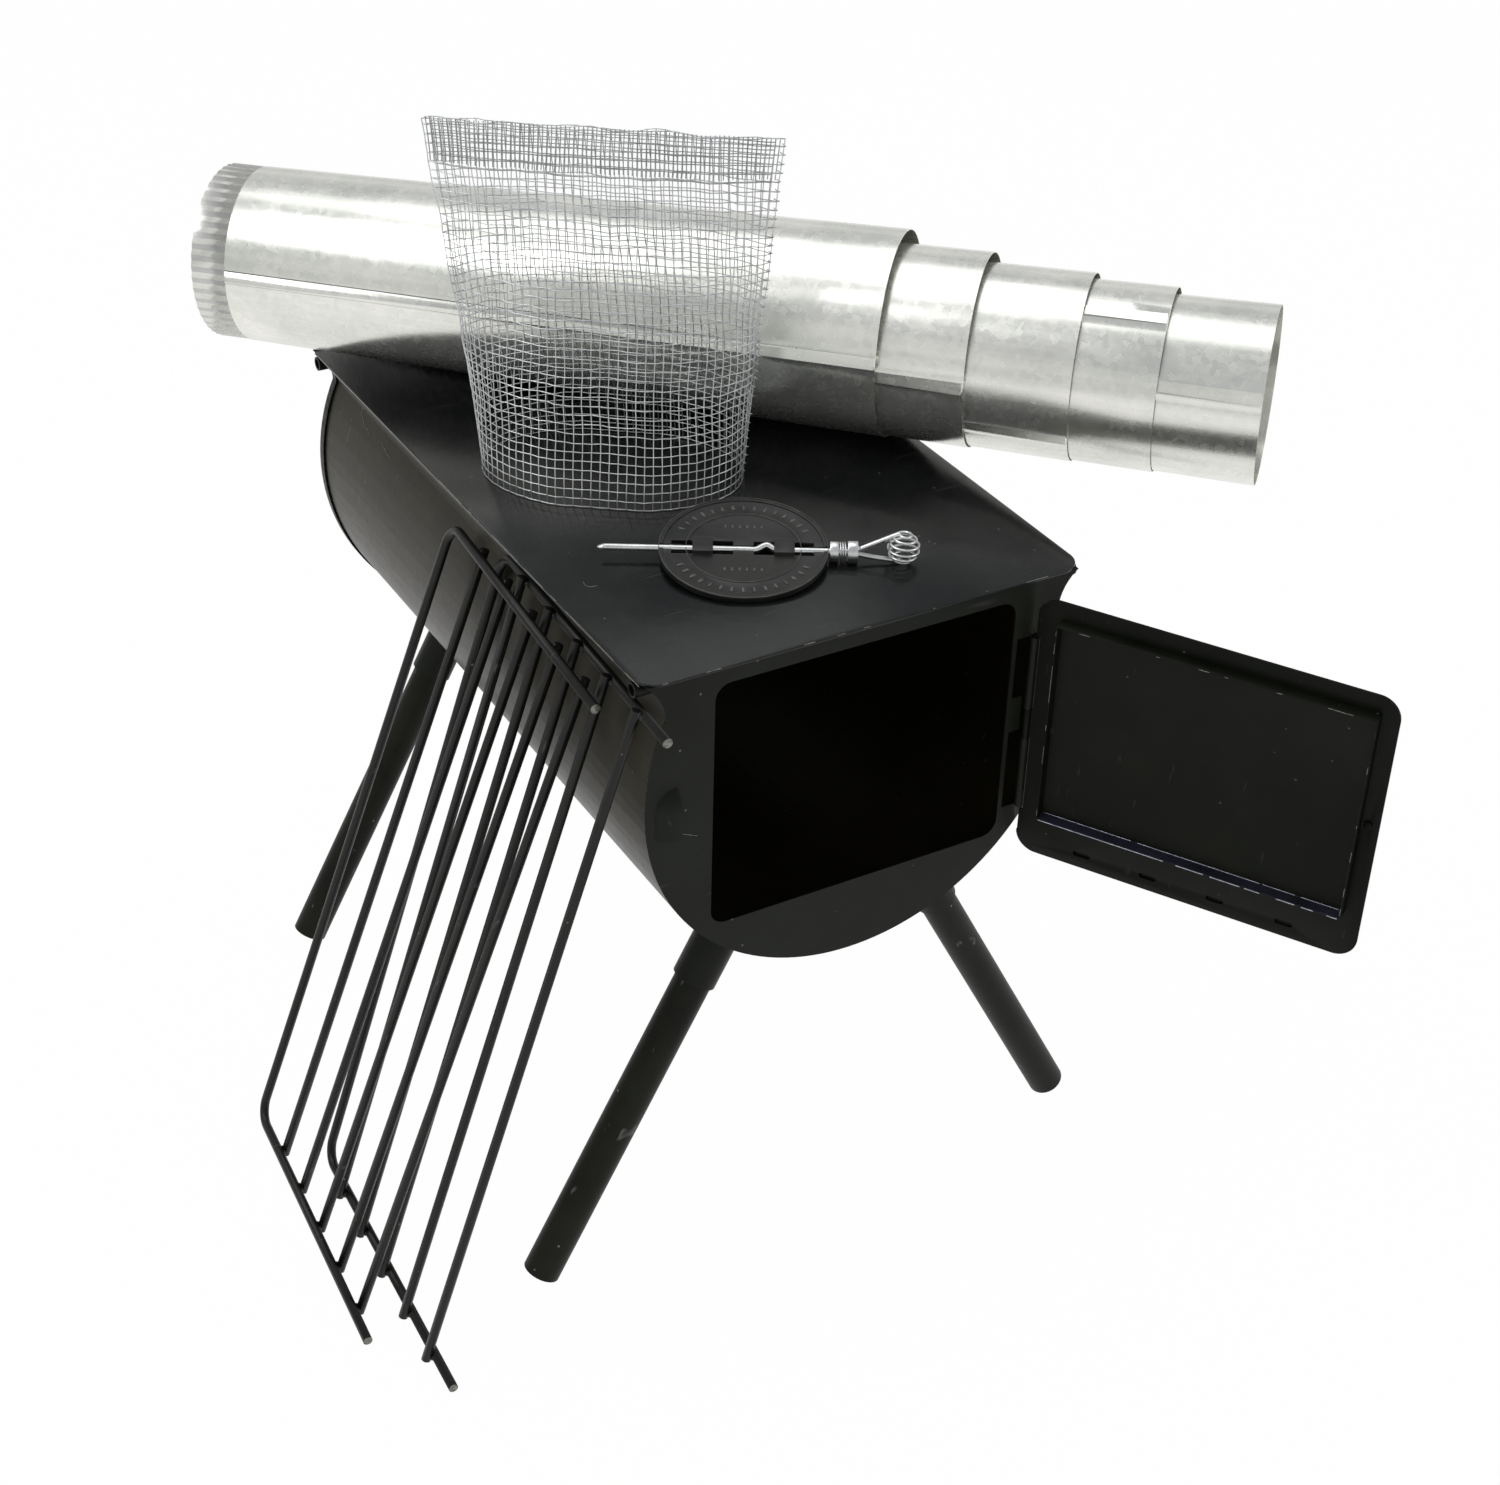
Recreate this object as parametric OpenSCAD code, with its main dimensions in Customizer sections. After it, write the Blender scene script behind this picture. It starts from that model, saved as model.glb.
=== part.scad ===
// Tent wood stove: a sheet-steel camp stove on four pull-out legs, with its door open, two wire
// side racks leaning on its left side, and its nested pipes, spark arrestor and damper on its top.
// Millimetres. +Z is up, the door faces -Y, and the origin is the middle of the flue hole at the
// level of the flat top.

/* [Stove body] */
// Width of the flat top
top_w = 342; // [336:1:400]
// Length of the flat top, front to back
top_l = 549; // [500:1:620]
// Radius of the front corners of the top
top_corner_r = 18; // [6:1:30]
// Thickness of the flat top
top_t = 2; // [1.5:0.1:3]
// How far the top reaches past the front plate
top_overhang = 2; // [2:0.1:6]
// Outer radius of the round barrel
body_r = 168; // [160:1:168]
// Length of the body, front plate to rear cap
body_l = 556; // [552:1:640]
// Depth of the barrel's axis below the flat top
axis_drop = 100; // [90:1:110]
// Depth of the neck below the flat top
neck_drop = 30; // [28:1:34]
// Radius of the flare that carries the top
flare_r = 35; // [33:1:38]
// Thickness of the body's sheet steel
sheet_t = 1.5; // [1:0.1:2]
// Width of the rim of the rear cap
rim_w = 7; // [4:0.5:7]
// Depth of the front plate's flange inside the barrel
flange_w = 10; // [4:1:14]

/* [Flue] */
// Radius of the flue hole
flue_r = 66.7; // [60:0.1:70]
// Distance from the front plate to the middle of the flue hole
flue_y = 440; // [380:1:450]
// Depth of the flue collar below the top
flue_depth = 28; // [15:1:28]
// Width of the flue collar's flange
flue_flange_w = 14; // [8:1:18]

/* [Door] */
// Width of the door opening
opening_w = 234; // [200:1:240]
// Height of the door opening
opening_h = 194; // [150:1:196]
// Distance from the flat top to the opening
opening_top = 14; // [13:1:16]
// Corner radius of the opening
opening_r = 12; // [5:1:20]
// How far the door laps over the plate at its free edge
lap_side = 4.5; // [4:0.5:8]
// How far the door laps over the plate at the top
lap_top = 1.5; // [1:0.5:6]
// How far the door laps over the plate at the bottom
lap_bottom = 15; // [12:1:18]
// Corner radius of the door
door_r = 16; // [6:1:20]
// Gap between the shut door and the front plate
door_gap = 1; // [0.6:0.1:2]
// How far the door stands open from shut, in degrees
door_open = 120.9; // [60:0.1:150]
// Depth of the tray on the door's inside
liner_depth = 11; // [8:1:14]
// Sheet thickness of the tray
liner_t = 1.2; // [0.8:0.1:1.6]
// Gap between the shut tray and the opening on the hinge side
liner_hinge_gap = 1.5; // [1:0.1:4]
// Gap between the shut tray and the opening on the free side
liner_free_gap = 7.5; // [7:0.5:12]
// Gap between the shut tray and the top of the opening
liner_top_gap = 11.5; // [4:0.5:16]
// Height of the tray
liner_h = 161; // [130:1:170]

/* [Hinge] */
// Distance of the hinge pin from the side of the opening
hinge_setback = 17; // [16:0.5:20]
// Depth of the hinge's middle below the flat top
hinge_drop = 116.5; // [106:0.5:118]
// Radius of the hinge pin
pin_r = 1.6; // [1.4:0.1:1.8]
// Outer radius of the hinge knuckles
knuckle_r = 3.4; // [3.2:0.1:3.8]
// Length of each of the two knuckles rolled from the front plate
knuckle_l = 58; // [30:1:62]
// Length of the door's middle knuckle
middle_knuckle_l = 25; // [16:1:30]
// Width of the strip left between the opening and the hinge windows
hinge_strip = 3.5; // [3:0.5:6]
// Height of the bridge between the two hinge windows
bridge_h = 28; // [18:1:36]
// Height of the bridge above the hinge's middle
bridge_rise = 8; // [0:1:12]

/* [Draft] */
// Number of air slots in the door's bottom margin
vent_count = 4; // [2:1:4]
// Spacing of the air slots
vent_pitch = 50.5; // [44:0.5:54]
// Length of an air slot
vent_l = 13; // [8:1:16]
// Height of an air slot
vent_h = 4; // [3:0.5:5]
// Distance of the air slots from the door's bottom edge
vent_edge = 11; // [10.5:0.5:14]
// Height of the draft slider
slider_h = 12; // [10:1:12]
// Thickness of the draft slider
slider_t = 1.2; // [0.8:0.1:1.6]
// Travel of the draft slider
slider_travel = 20; // [17:1:22]
// Radius of the slider's knob
knob_r = 6; // [4:0.5:9]
// Height of the slider's knob
knob_h = 8; // [5:1:12]

/* [Latch] */
// Distance of the latch pivot from the door's free edge
latch_inset = 7.8; // [7.6:0.1:8]
// Depth of the latch pivot below the flat top
latch_drop = 112; // [100:1:120]
// Width of the latch bar
latch_w = 11; // [10:1:14]
// Thickness of the latch bar
latch_t = 1.8; // [1.4:0.1:1.9]
// Width of the latch tongue
tongue_w = 7; // [5:0.5:7]
// How far the tongue reaches into the keeper
tongue_grip = 5; // [3:0.5:5.5]
// Length of the latch grip
grip_l = 58; // [40:1:70]
// Height of the grip's turned-up end
grip_h = 8; // [6:1:12]
// Radius of the latch bolt
bolt_r = 2; // [1.6:0.1:2]

// Distance of the keeper's mouth from the opening
keeper_gap = 27; // [24:1:30]
// Radius of the keeper's dome where it meets the front plate
keeper_r = 16; // [15:0.5:17]
// Height of the keeper's dome off the front plate
keeper_rise = 7.5; // [7:0.1:8]
// Height of the keeper
keeper_h = 38; // [34:1:42]
// Wall of the keeper
keeper_t = 1.2; // [0.8:0.1:1.4]
// How much of the keeper's height lies below the latch pivot
keeper_drop_share = 0.263; // [0.2:0.001:0.3]

/* [Legs] */
// Outer diameter of the leg tubes
leg_d = 28; // [24:0.1:32]
// Wall of the leg tubes
leg_wall = 1.5; // [1:0.1:2.5]
// Length from the barrel to the end of a leg
leg_reach = 314; // [200:1:400]
// Lean of the legs from upright, in degrees
leg_tilt = 28.5; // [20:0.5:34]
// Where the legs leave the barrel, in degrees from its lowest line
leg_root_angle = 28; // [22:0.2:34]
// Distance of the legs from either end of the body
leg_inset = 47; // [30:1:70]
// Length of the leg sockets outside the barrel
socket_l = 50; // [30:1:60]
// Wall of the leg sockets
socket_wall = 2.2; // [1.2:0.1:2.5]

/* [Side racks] */
// Diameter of the rack rod
rod_d = 7; // [5:0.5:8]
// Length of a rack between its two rails
rack_len = 530; // [480:1:530]
// Spacing of the cross rods
rod_pitch = 46; // [40:1:50]
// Number of cross rods besides the bent one
rod_count = 5; // [3:1:5]
// Length of the prongs past the last cross rod
prong_l = 35; // [25:1:40]
// Radius of the bends of a rack
rack_bend_r = 16; // [10:1:24]
// Lean of the inner rack from upright, in degrees
lean_b = 18; // [17:0.1:19]
// Extra lean of the outer rack, in degrees
lean_extra = 2.1; // [1.5:0.1:3]
// Outer diameter of the rack sockets
rack_socket_d = 11; // [10:0.5:12]
// Length of the rack sockets
rack_socket_l = 26; // [16:1:30]

/* [Pipe] */
// Length of each pipe section
pipe_l = 533; // [400:1:560]
// Radius of the large end of the outer section
pipe_r = 75.7; // [72:0.1:78]
// How much the radius shrinks from a section's large end to its small end
pipe_taper = 9.1; // [6:0.1:11]
// Wall of the pipe sections
pipe_wall = 0.6; // [0.5:0.1:0.7]
// Length of the crimped end
crimp_l = 28; // [15:1:40]
// Number of crimps round a pipe
crimp_count = 48; // [20:1:60]
// Width of a lock seam
seam_w = 9; // [6:1:11]
// Height of a lock seam
seam_h = 1; // [0.6:0.1:1.2]
// Heading of the bundle, in degrees clockwise from +X
pipe_heading = 45.5; // [40:0.5:50]

/* [Spark arrestor] */
// Length of the arrestor's oval mouth
bag_w = 190; // [160:1:196]
// Width of the arrestor's oval mouth
bag_d = 120; // [90:1:122]
// Height of the arrestor
bag_h = 250; // [180:1:280]
// Thickness of the arrestor's mesh wall
bag_t = 1.6; // [1.2:0.1:2.4]
// Height of the round part above the mouth
bag_ring_h = 12; // [4:1:20]

/* [Damper] */
// Radius of the damper plate
damper_r = 57.8; // [50:0.1:60]
// Thickness of the damper plate
damper_t = 3.2; // [2.5:0.1:4]
// Height of the raised rings on the damper plate
ring_h = 0.9; // [0.5:0.1:1.4]
// Diameter of the damper's rod
damper_rod_d = 4.8; // [3.6:0.1:5]
// Length of the rod from the plate's middle to its tip
rod_tip_l = 99.5; // [80:0.5:110]
// Lean of the damper plate about its rod, in degrees
damper_lean = 6.5; // [3:0.5:7]
// Radius of the collar nuts
nut_r = 8; // [7:0.1:9]
// Distance from the plate's middle to the handle's wire ball
ball_x = 108.6; // [104:0.1:116]
// Radius of the wire ball, to the middle of the wire
ball_r = 10.6; // [9:0.1:12]
// Diameter of the wire of the ball
ball_wire_d = 2; // [1.6:0.1:2.2]
// Diameter of the wire that carries the ball
loop_wire_d = 3.8; // [2.4:0.1:4]
// Turns of the wire ball
ball_turns = 6; // [4:1:7]
// Turns of the spring
spring_turns = 3; // [2:1:3]
// Diameter of the spring wire
spring_wire_d = 1.1; // [0.8:0.1:1.2]

/* [Hidden] */
$fn = 72;
coil_sides = 6;
coil_rings = 8;
// Gap that keeps resting pieces apart
rest_gap = 0.3;
// Radial clearance of turning and sliding fits
fit = 0.05;
// One overrun for all cuts
over = 2;
// Overlap that stands for a weld
weld = 0.4;
neck_half = sqrt(pow(body_r, 2) - pow(axis_drop - neck_drop, 2));
flare_x = neck_half + flare_r;
hinge_x = opening_w / 2 + hinge_setback;
pin_y = -(knuckle_r - sheet_t + rest_gap);
opening_bottom = opening_top + opening_h;
door_w = hinge_x + opening_w / 2 + lap_side;
door_top = opening_top - lap_top;
door_bottom = opening_bottom + lap_bottom;
door_h = door_bottom - door_top;
door_edge = 0.5;
knuckle_gap = 0.5;
panel_in = -door_gap - pin_y;
panel_out = panel_in - sheet_t;
vent_drop = door_bottom - vent_edge;
slide_gap = 0.3;
slider_out = panel_out - slide_gap - slider_t;
slider_end_share = 1.5;
slider_l = (vent_count - 1) * vent_pitch + slider_travel + slider_end_share * vent_l;
door_mid = door_w / 2;
latch_x = door_w - latch_inset;
tongue_l = hinge_setback + opening_w + keeper_gap + tongue_grip - latch_x;
latch_in = panel_out - slide_gap;
latch_out = latch_in - latch_t;
guide_w = 9;
guide_foot = 4;
guide_t = 1.2;
root_x = body_r * sin(leg_root_angle);
root_z = -axis_drop - body_r * cos(leg_root_angle);
foot_drop = -root_z + leg_reach * cos(leg_tilt);
ground = -(foot_drop + leg_d / 2 * sin(leg_tilt));
rack_depth = rod_count * rod_pitch + prong_l;
// The inner rack leans on the barrel, the outer one on the inner one
// Room beside the barrel's round side, which lets the rack's top pass the flare above it
rack_room = 1.25;
rack_b_y = 233;
rack_a_y = 297;
yaw_b = 2.6;
yaw_a = 4.1;
lean_a = lean_b + lean_extra;
rack_b_z = ground + rest_gap + rod_d / 2 + rack_len * cos(lean_b);
rack_b_x = -(body_r + rod_d / 2 + rack_room - sin(lean_b) * (rack_b_z + axis_drop)) / cos(lean_b);
rack_a_z = ground + rest_gap + rod_d / 2 + rack_len * cos(lean_a);
rack_turn = (rack_a_y - rack_b_y + rod_pitch) * tan(yaw_a);
rack_lift = cos(lean_b) * sin(yaw_b) * rod_pitch + sin(lean_b) * (rack_b_z - rack_a_z);
rack_a_x = rack_b_x + rack_turn - (2 * rod_d - weld + rest_gap + rack_lift) / (cos(lean_b) * cos(yaw_b));
socket_in = rack_socket_d / 2 + top_t + 2 * weld;
rack_socket_y0 = 13;
socket_play = 1;
socket_bore_r = (rod_d + socket_play) / 2;
pipe_nest_shares = [1, 0.938, 0.898, 0.876, 0.852];
pipe_step_shares = [0, 0.118, 0.259, 0.37, 0.507];
seam_angles = [7, 1, -25, 64, 22];
nest_gap = 0.4;
crimp_amp = 0.8;
pipe_start = [-209.1, 614.3];
bag_at = [-52.9, 268.7];
fold_at = [-48, 292];
fold_heading = 36;
damper_at = [-34.1, 111.2];
damper_heading = 29.7;
damper_z = max(nut_r, damper_r * sin(damper_lean) + damper_t / 2) + rest_gap;
// Radii and places on the damper plate, as parts of its radius
inner_ring_share = 0.68;
window_shares = [-0.72, -0.24, 0.24, 0.7];
strap_share = 0.48;
rod_play = 0.8;
bore_w = damper_rod_d + rod_play;
window_w = 15;
strap_w = 14;
nut_gap = 0.8;
nut_1_share = 0.91;
nut_1_x = damper_r + nut_gap;
nut_1_w = 6;
nut_2_w = 7.2;
spring_l = 6;
nut_2_x = nut_1_x + nut_1_w + spring_l;
wire_x = nut_2_x + nut_2_w;
spring_r = nut_r - spring_wire_d;
ball_z = ball_r + loop_wire_d / 2 + rest_gap - damper_z;
// The polar angle at which the ball's wire starts and ends
ball_end = 16;
ball_steps = coil_rings * ball_turns;
spring_steps = coil_rings * spring_turns;
// The S-bend in the middle of the damper's rod
kink_x = 14.2;
kink_y = 3.6;
kink_l = 6.3;

// Places shapes that are measured from the front plate
module stove() {
    translate([0, -flue_y, 0]) children();
}

// Extrudes an outline, drawn as x and height, from y0 to y1
module along_y(y0, y1) {
    translate([0, y1, 0]) rotate([90, 0, 0]) linear_extrude(y1 - y0) children();
}

module round_rect(w, h, r) {
    square([w - 2 * r, h], center = true);
    square([w, h - 2 * r], center = true);
    for (sx = [-1, 1], sy = [-1, 1]) translate([sx * (w / 2 - r), sy * (h / 2 - r)]) circle(r);
}

// Keyhole outline of the body: a circle that necks in and flares out to the flat top
module body_outline(out, top_z) {
    intersection() {
        translate([0, -axis_drop]) circle(body_r + out, $fn = 144);
        translate([-2 * body_r, -axis_drop - 2 * body_r])
            square([4 * body_r, 2 * body_r + axis_drop - neck_drop / 2]);
    }
    difference() {
        translate([-flare_x, -neck_drop - weld]) square([2 * flare_x, neck_drop + weld + top_z]);
        for (s = [-1, 1]) translate([s * flare_x, -neck_drop]) circle(flare_r - out);
    }
}

module ring_tube(r_out, r_in, h) {
    difference() {
        cylinder(h = h, r = r_out);
        translate([0, 0, -over]) cylinder(h = h + 2 * over, r = r_in);
    }
}

function rack_socket_y(end) = rack_socket_y0 + (end < 0 ? 0 : rack_len);

module barrel() {
    color([0.13, 0.12, 0.11]) stove() difference() {
        along_y(sheet_t, body_l - sheet_t) difference() {
            body_outline(0, -top_t);
            body_outline(-sheet_t, over);
        }
        for (s = [-1, 1], e = [-1, 1]) translate([s * (top_w / 2 + over), rack_socket_y(e), -socket_in])
            rotate([0, -s * 90, 0]) cylinder(h = rack_socket_l + 2 * over, r = rack_socket_d / 2);
    }
}

module opening_2d() {
    translate([0, -(opening_top + opening_h / 2)]) round_rect(opening_w, opening_h, opening_r);
}

module front_plate() {
    hinge_l = middle_knuckle_l + 2 * knuckle_l;
    bridge_at = hinge_drop - bridge_rise - bridge_h / 2;
    bridge_w = hinge_setback - knuckle_r - sheet_t - hinge_strip;
    color([0.1, 0.1, 0.1]) stove() difference() {
        union() {
            along_y(0, sheet_t) difference() {
                body_outline(0, -top_t);
                opening_2d();
                // Window whose metal is rolled into the two fixed knuckles, with a bridge across it
                translate([opening_w / 2 + hinge_strip, -hinge_drop - hinge_l / 2]) difference() {
                    square([hinge_x - opening_w / 2 - hinge_strip, hinge_l]);
                    translate([0, hinge_drop - bridge_at - bridge_h + hinge_l / 2])
                        square([bridge_w, bridge_h]);
                }
                // Relief for the door's middle knuckle
                translate([hinge_x - knuckle_r - sheet_t, -hinge_drop - middle_knuckle_l / 2])
                    square([2 * (knuckle_r + sheet_t), middle_knuckle_l]);
            }
            // Flange that stands inside the barrel
            along_y(0, sheet_t + flange_w) intersection() {
                translate([-body_r, -axis_drop - body_r])
                    square([2 * body_r, body_r + axis_drop - neck_drop]);
                difference() {
                    translate([0, -axis_drop]) circle(body_r - sheet_t, $fn = 144);
                    translate([0, -axis_drop]) circle(body_r - 2 * sheet_t, $fn = 144);
                }
            }
            for (z = [-hinge_drop - hinge_l / 2, -hinge_drop + middle_knuckle_l / 2])
                translate([hinge_x, pin_y, z]) cylinder(h = knuckle_l, r = knuckle_r);
        }
        translate([hinge_x, pin_y, -opening_bottom]) cylinder(h = opening_bottom, r = pin_r + fit);
    }
}

module rear_cap() {
    color([0.09, 0.09, 0.09]) stove() {
        along_y(body_l - sheet_t, body_l) body_outline(0, -top_t);
        along_y(body_l - rim_w, body_l) difference() {
            body_outline(sheet_t, -top_t);
            body_outline(0, -top_t);
        }
    }
}

module top_plate() {
    w = top_w / 2;
    r = top_corner_r;
    color([0.12, 0.12, 0.13]) stove() translate([0, 0, -top_t]) linear_extrude(top_t) difference() {
        union() {
            translate([-w, r - top_overhang]) square([2 * w, top_l - r]);
            translate([r - w, -top_overhang]) square([2 * (w - r), 2 * r]);
            for (s = [-1, 1]) translate([s * (w - r), r - top_overhang]) circle(r);
        }
        translate([0, flue_y]) circle(flue_r + sheet_t);
    }
}

module flue_collar() {
    color([0.1, 0.1, 0.1]) stove() translate([0, flue_y, 0]) difference() {
        union() {
            translate([0, 0, -flue_depth]) cylinder(h = flue_depth, r = flue_r + sheet_t);
            translate([0, 0, -top_t - sheet_t]) cylinder(h = sheet_t, r = flue_r + flue_flange_w);
        }
        translate([0, 0, -flue_depth - over]) cylinder(h = flue_depth + 2 * over, r = flue_r);
    }
}

// Stands a shape on the leg's axis: its z axis runs from the barrel outward and down
module on_leg(side, y) {
    translate([side * root_x, y, root_z]) rotate([0, side * (180 - leg_tilt), 0]) children();
}

function leg_y(end) = end < 0 ? leg_inset : body_l - leg_inset;

module leg_sockets() {
    color([0.1, 0.1, 0.1]) stove() for (s = [-1, 1], e = [-1, 1]) difference() {
        on_leg(s, leg_y(e)) translate([0, 0, -leg_d / 2])
            ring_tube(leg_d / 2 + fit + socket_wall, leg_d / 2 + fit, socket_l + leg_d / 2);
        translate([0, 0, -axis_drop]) rotate([-90, 0, 0]) cylinder(h = body_l, r = body_r, $fn = 144);
    }
}

module leg(side, end) {
    h = leg_reach - leg_d / 4;
    color([0.1, 0.1, 0.1]) stove() on_leg(side, leg_y(end)) translate([0, 0, leg_d / 4]) difference() {
        cylinder(h = h, r = leg_d / 2);
        translate([0, 0, -over]) cylinder(h = h - leg_wall + over, r = leg_d / 2 - leg_wall);
    }
}

module leg_front_left() {
    leg(-1, -1);
}

module leg_front_right() {
    leg(1, -1);
}

module leg_rear_left() {
    leg(-1, 1);
}

module leg_rear_right() {
    leg(1, 1);
}

module rack_sockets() {
    color([0.1, 0.1, 0.1]) stove() for (s = [-1, 1], e = [-1, 1])
        translate([s * top_w / 2, rack_socket_y(e), -socket_in]) rotate([0, -s * 90, 0])
            ring_tube(rack_socket_d / 2, socket_bore_r, rack_socket_l);
}

module hinge_pin() {
    pin_top = -hinge_drop + middle_knuckle_l / 2 + knuckle_l;
    pin_l = 2 * knuckle_l + middle_knuckle_l;
    color([0.16, 0.16, 0.16]) stove() translate([hinge_x, pin_y, pin_top]) {
        translate([0, 0, -pin_l - pin_r]) cylinder(h = pin_l + 2 * pin_r, r = pin_r);
        cylinder(h = pin_r, r = knuckle_r - sheet_t);
        translate([0, 0, -pin_l - pin_r]) cylinder(h = pin_r, r = knuckle_r - sheet_t);
    }
}

// A pressed pocket, open to the right and below, that the latch's tongue swings into
module pocket(r, h) {
    sphere(r, $fn = 96);
    translate([0, 0, -h]) cylinder(h = h, r = r, $fn = 96);
}

module latch_keeper() {
    centre_y = (pow(keeper_r, 2) - pow(keeper_rise, 2)) / (2 * keeper_rise);
    mouth_x = -opening_w / 2 - keeper_gap;
    keeper_top = keeper_h * (1 - keeper_drop_share) - latch_drop;
    color([0.1, 0.1, 0.1]) stove() intersection() {
        translate([mouth_x, centre_y, keeper_top - keeper_r]) difference() {
            pocket(centre_y + keeper_rise, keeper_h);
            pocket(centre_y + keeper_rise - keeper_t, keeper_h + over);
        }
        translate([mouth_x - keeper_r, -keeper_rise, keeper_top - keeper_h])
            cube([keeper_r, keeper_rise, keeper_h]);
    }
}

// Turns a shape, drawn as on the shut door and measured from the pin, to the open door
module on_door() {
    stove() translate([hinge_x, pin_y, 0]) rotate([0, 0, door_open]) children();
}

function vent_x(i) = -door_mid + (i - (vent_count - 1) / 2) * vent_pitch;

module slot_2d(l, h) {
    square([l - h, h], center = true);
    for (s = [-1, 1]) translate([s * (l - h) / 2, 0]) circle(h / 2);
}

module door_panel() {
    tab_h = middle_knuckle_l - 2 * rest_gap;
    notch = knuckle_r + knuckle_gap;
    head_room = pin_r + knuckle_gap;
    hinge_l = middle_knuckle_l + 2 * knuckle_l;
    color([0.1, 0.1, 0.1]) on_door() difference() {
        union() {
            along_y(panel_out, panel_in) difference() {
                translate([-(door_w + door_edge) / 2, -(door_top + door_h / 2)])
                    round_rect(door_w - door_edge, door_h, door_r);
                for (z = [-hinge_drop - hinge_l / 2 - head_room, -hinge_drop + tab_h / 2 - knuckle_gap])
                    translate([-notch, z]) square([notch, knuckle_l + head_room + 2 * knuckle_gap]);
                for (i = [0 : vent_count - 1]) translate([vent_x(i), -vent_drop]) slot_2d(vent_l, vent_h);
                translate([-latch_x, -latch_drop]) circle(bolt_r);
            }
            translate([0, 0, -hinge_drop - tab_h / 2]) cylinder(h = tab_h, r = knuckle_r);
        }
        translate([0, 0, -opening_bottom]) cylinder(h = opening_bottom, r = pin_r + fit);
    }
}

// A shallow tray welded to the door's inside, open to the fire
module door_liner() {
    x0 = -hinge_setback - opening_w + liner_free_gap;
    z0 = -opening_top - liner_top_gap - liner_h;
    w = opening_w - liner_free_gap - liner_hinge_gap;
    color([0.13, 0.13, 0.15]) on_door() translate([x0, panel_in, z0]) difference() {
        cube([w, liner_depth, liner_h]);
        translate([liner_t, liner_t, liner_t]) cube([w - 2 * liner_t, liner_depth, liner_h - 2 * liner_t]);
    }
}

module slider_guides() {
    color([0.12, 0.12, 0.12]) on_door() for (s = [-1, 1])
        translate([-door_mid + s * vent_pitch, 0, -vent_drop]) {
            difference() {
                along_y(panel_out - 2 * slide_gap - slider_t - guide_t, panel_out)
                    square([guide_w, slider_h + 2 * slide_gap + 2 * guide_foot], center = true);
                along_y(panel_out - 2 * slide_gap - slider_t, panel_out + over)
                    square([guide_w + 2 * over, slider_h + 2 * slide_gap], center = true);
            }
        }
}

module draft_slider() {
    color([0.14, 0.14, 0.14]) on_door() difference() {
        along_y(slider_out, slider_out + slider_t) difference() {
            translate([slider_travel / 2 - door_mid, -vent_drop])
                round_rect(slider_l, slider_h, slider_h / 4);
            for (i = [0 : vent_count - 1])
                translate([vent_x(i) + slider_travel, -vent_drop])
                    slot_2d(vent_l + sheet_t, vent_h + sheet_t);
            translate([-door_mid, -vent_drop]) circle(knob_r / 3);
        }
    }
}

module slider_knob() {
    color([0.5, 0.5, 0.5]) on_door() translate([-door_mid, slider_out, -vent_drop]) rotate([90, 0, 0]) {
        translate([0, 0, -slider_t]) cylinder(h = slider_t + knob_h / 2, r = knob_r / 3);
        translate([0, 0, knob_h / 2]) cylinder(h = knob_h / 2, r1 = knob_r, r2 = knob_r * 4 / 5);
        cylinder(h = knob_h / 2, r1 = knob_r / 2, r2 = knob_r / 3);
    }
}

module latch_bolt() {
    head = bolt_r * 1.4;
    color([0.35, 0.35, 0.35]) on_door() translate([-latch_x, 0, -latch_drop]) rotate([90, 0, 0]) {
        translate([0, 0, -panel_in]) cylinder(h = panel_in - latch_out + slide_gap, r = bolt_r);
        translate([0, 0, slide_gap - latch_out]) cylinder(h = bolt_r, r1 = 2 * bolt_r, r2 = head);
        translate([0, 0, -panel_in - bolt_r / 2]) cylinder(h = bolt_r / 2, r = head);
    }
}

module latch_handle() {
    color([0.14, 0.14, 0.14]) on_door() translate([-latch_x, 0, -latch_drop]) {
        along_y(latch_out, latch_in) difference() {
            union() {
                circle(latch_w / 2);
                translate([-latch_w / 2, 0]) square([latch_w, grip_l]);
                translate([-tongue_w / 2, tongue_w / 2 - tongue_l])
                    square([tongue_w, tongue_l - tongue_w / 2]);
                translate([0, tongue_w / 2 - tongue_l]) circle(tongue_w / 2);
            }
            circle(bolt_r + fit);
        }
        translate([-latch_w / 2, latch_out - grip_h, grip_l - latch_t])
            cube([latch_w, grip_h + latch_t, latch_t]);
    }
}

module rack_bend() {
    rotate_extrude(angle = 90) translate([rack_bend_r, 0]) circle(rod_d / 2);
}

// One rack, drawn from the bent corner of its top rail: x runs up its slope, y to the rear
module rack_frame() {
    reach = rack_depth - rack_bend_r;
    for (x = [0, -rack_len])
        translate([x, -rack_depth, 0]) rotate([-90, 0, 0]) cylinder(h = reach, r = rod_d / 2);
    translate([-rack_len + rack_bend_r, 0, 0]) rotate([0, 90, 0])
        cylinder(h = rack_len - 2 * rack_bend_r, r = rod_d / 2);
    translate([-rack_bend_r, -rack_bend_r, 0]) rack_bend();
    translate([-rack_len + rack_bend_r, -rack_bend_r, 0]) rotate([0, 0, 90]) rack_bend();
}

module rack_rods(side) {
    for (k = [0 : rod_count - 1])
        translate([-rack_len - rod_d / 2, -rack_depth + prong_l + k * rod_pitch, side * (rod_d - weld)])
            rotate([0, 90, 0]) cylinder(h = rack_len + rod_d, r = rod_d / 2);
}

module lean_rack(x, y, z, lean, yaw) {
    stove() translate([x, y, z]) rotate([0, 0, -yaw]) rotate([0, lean - 90, 0]) children();
}

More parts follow.
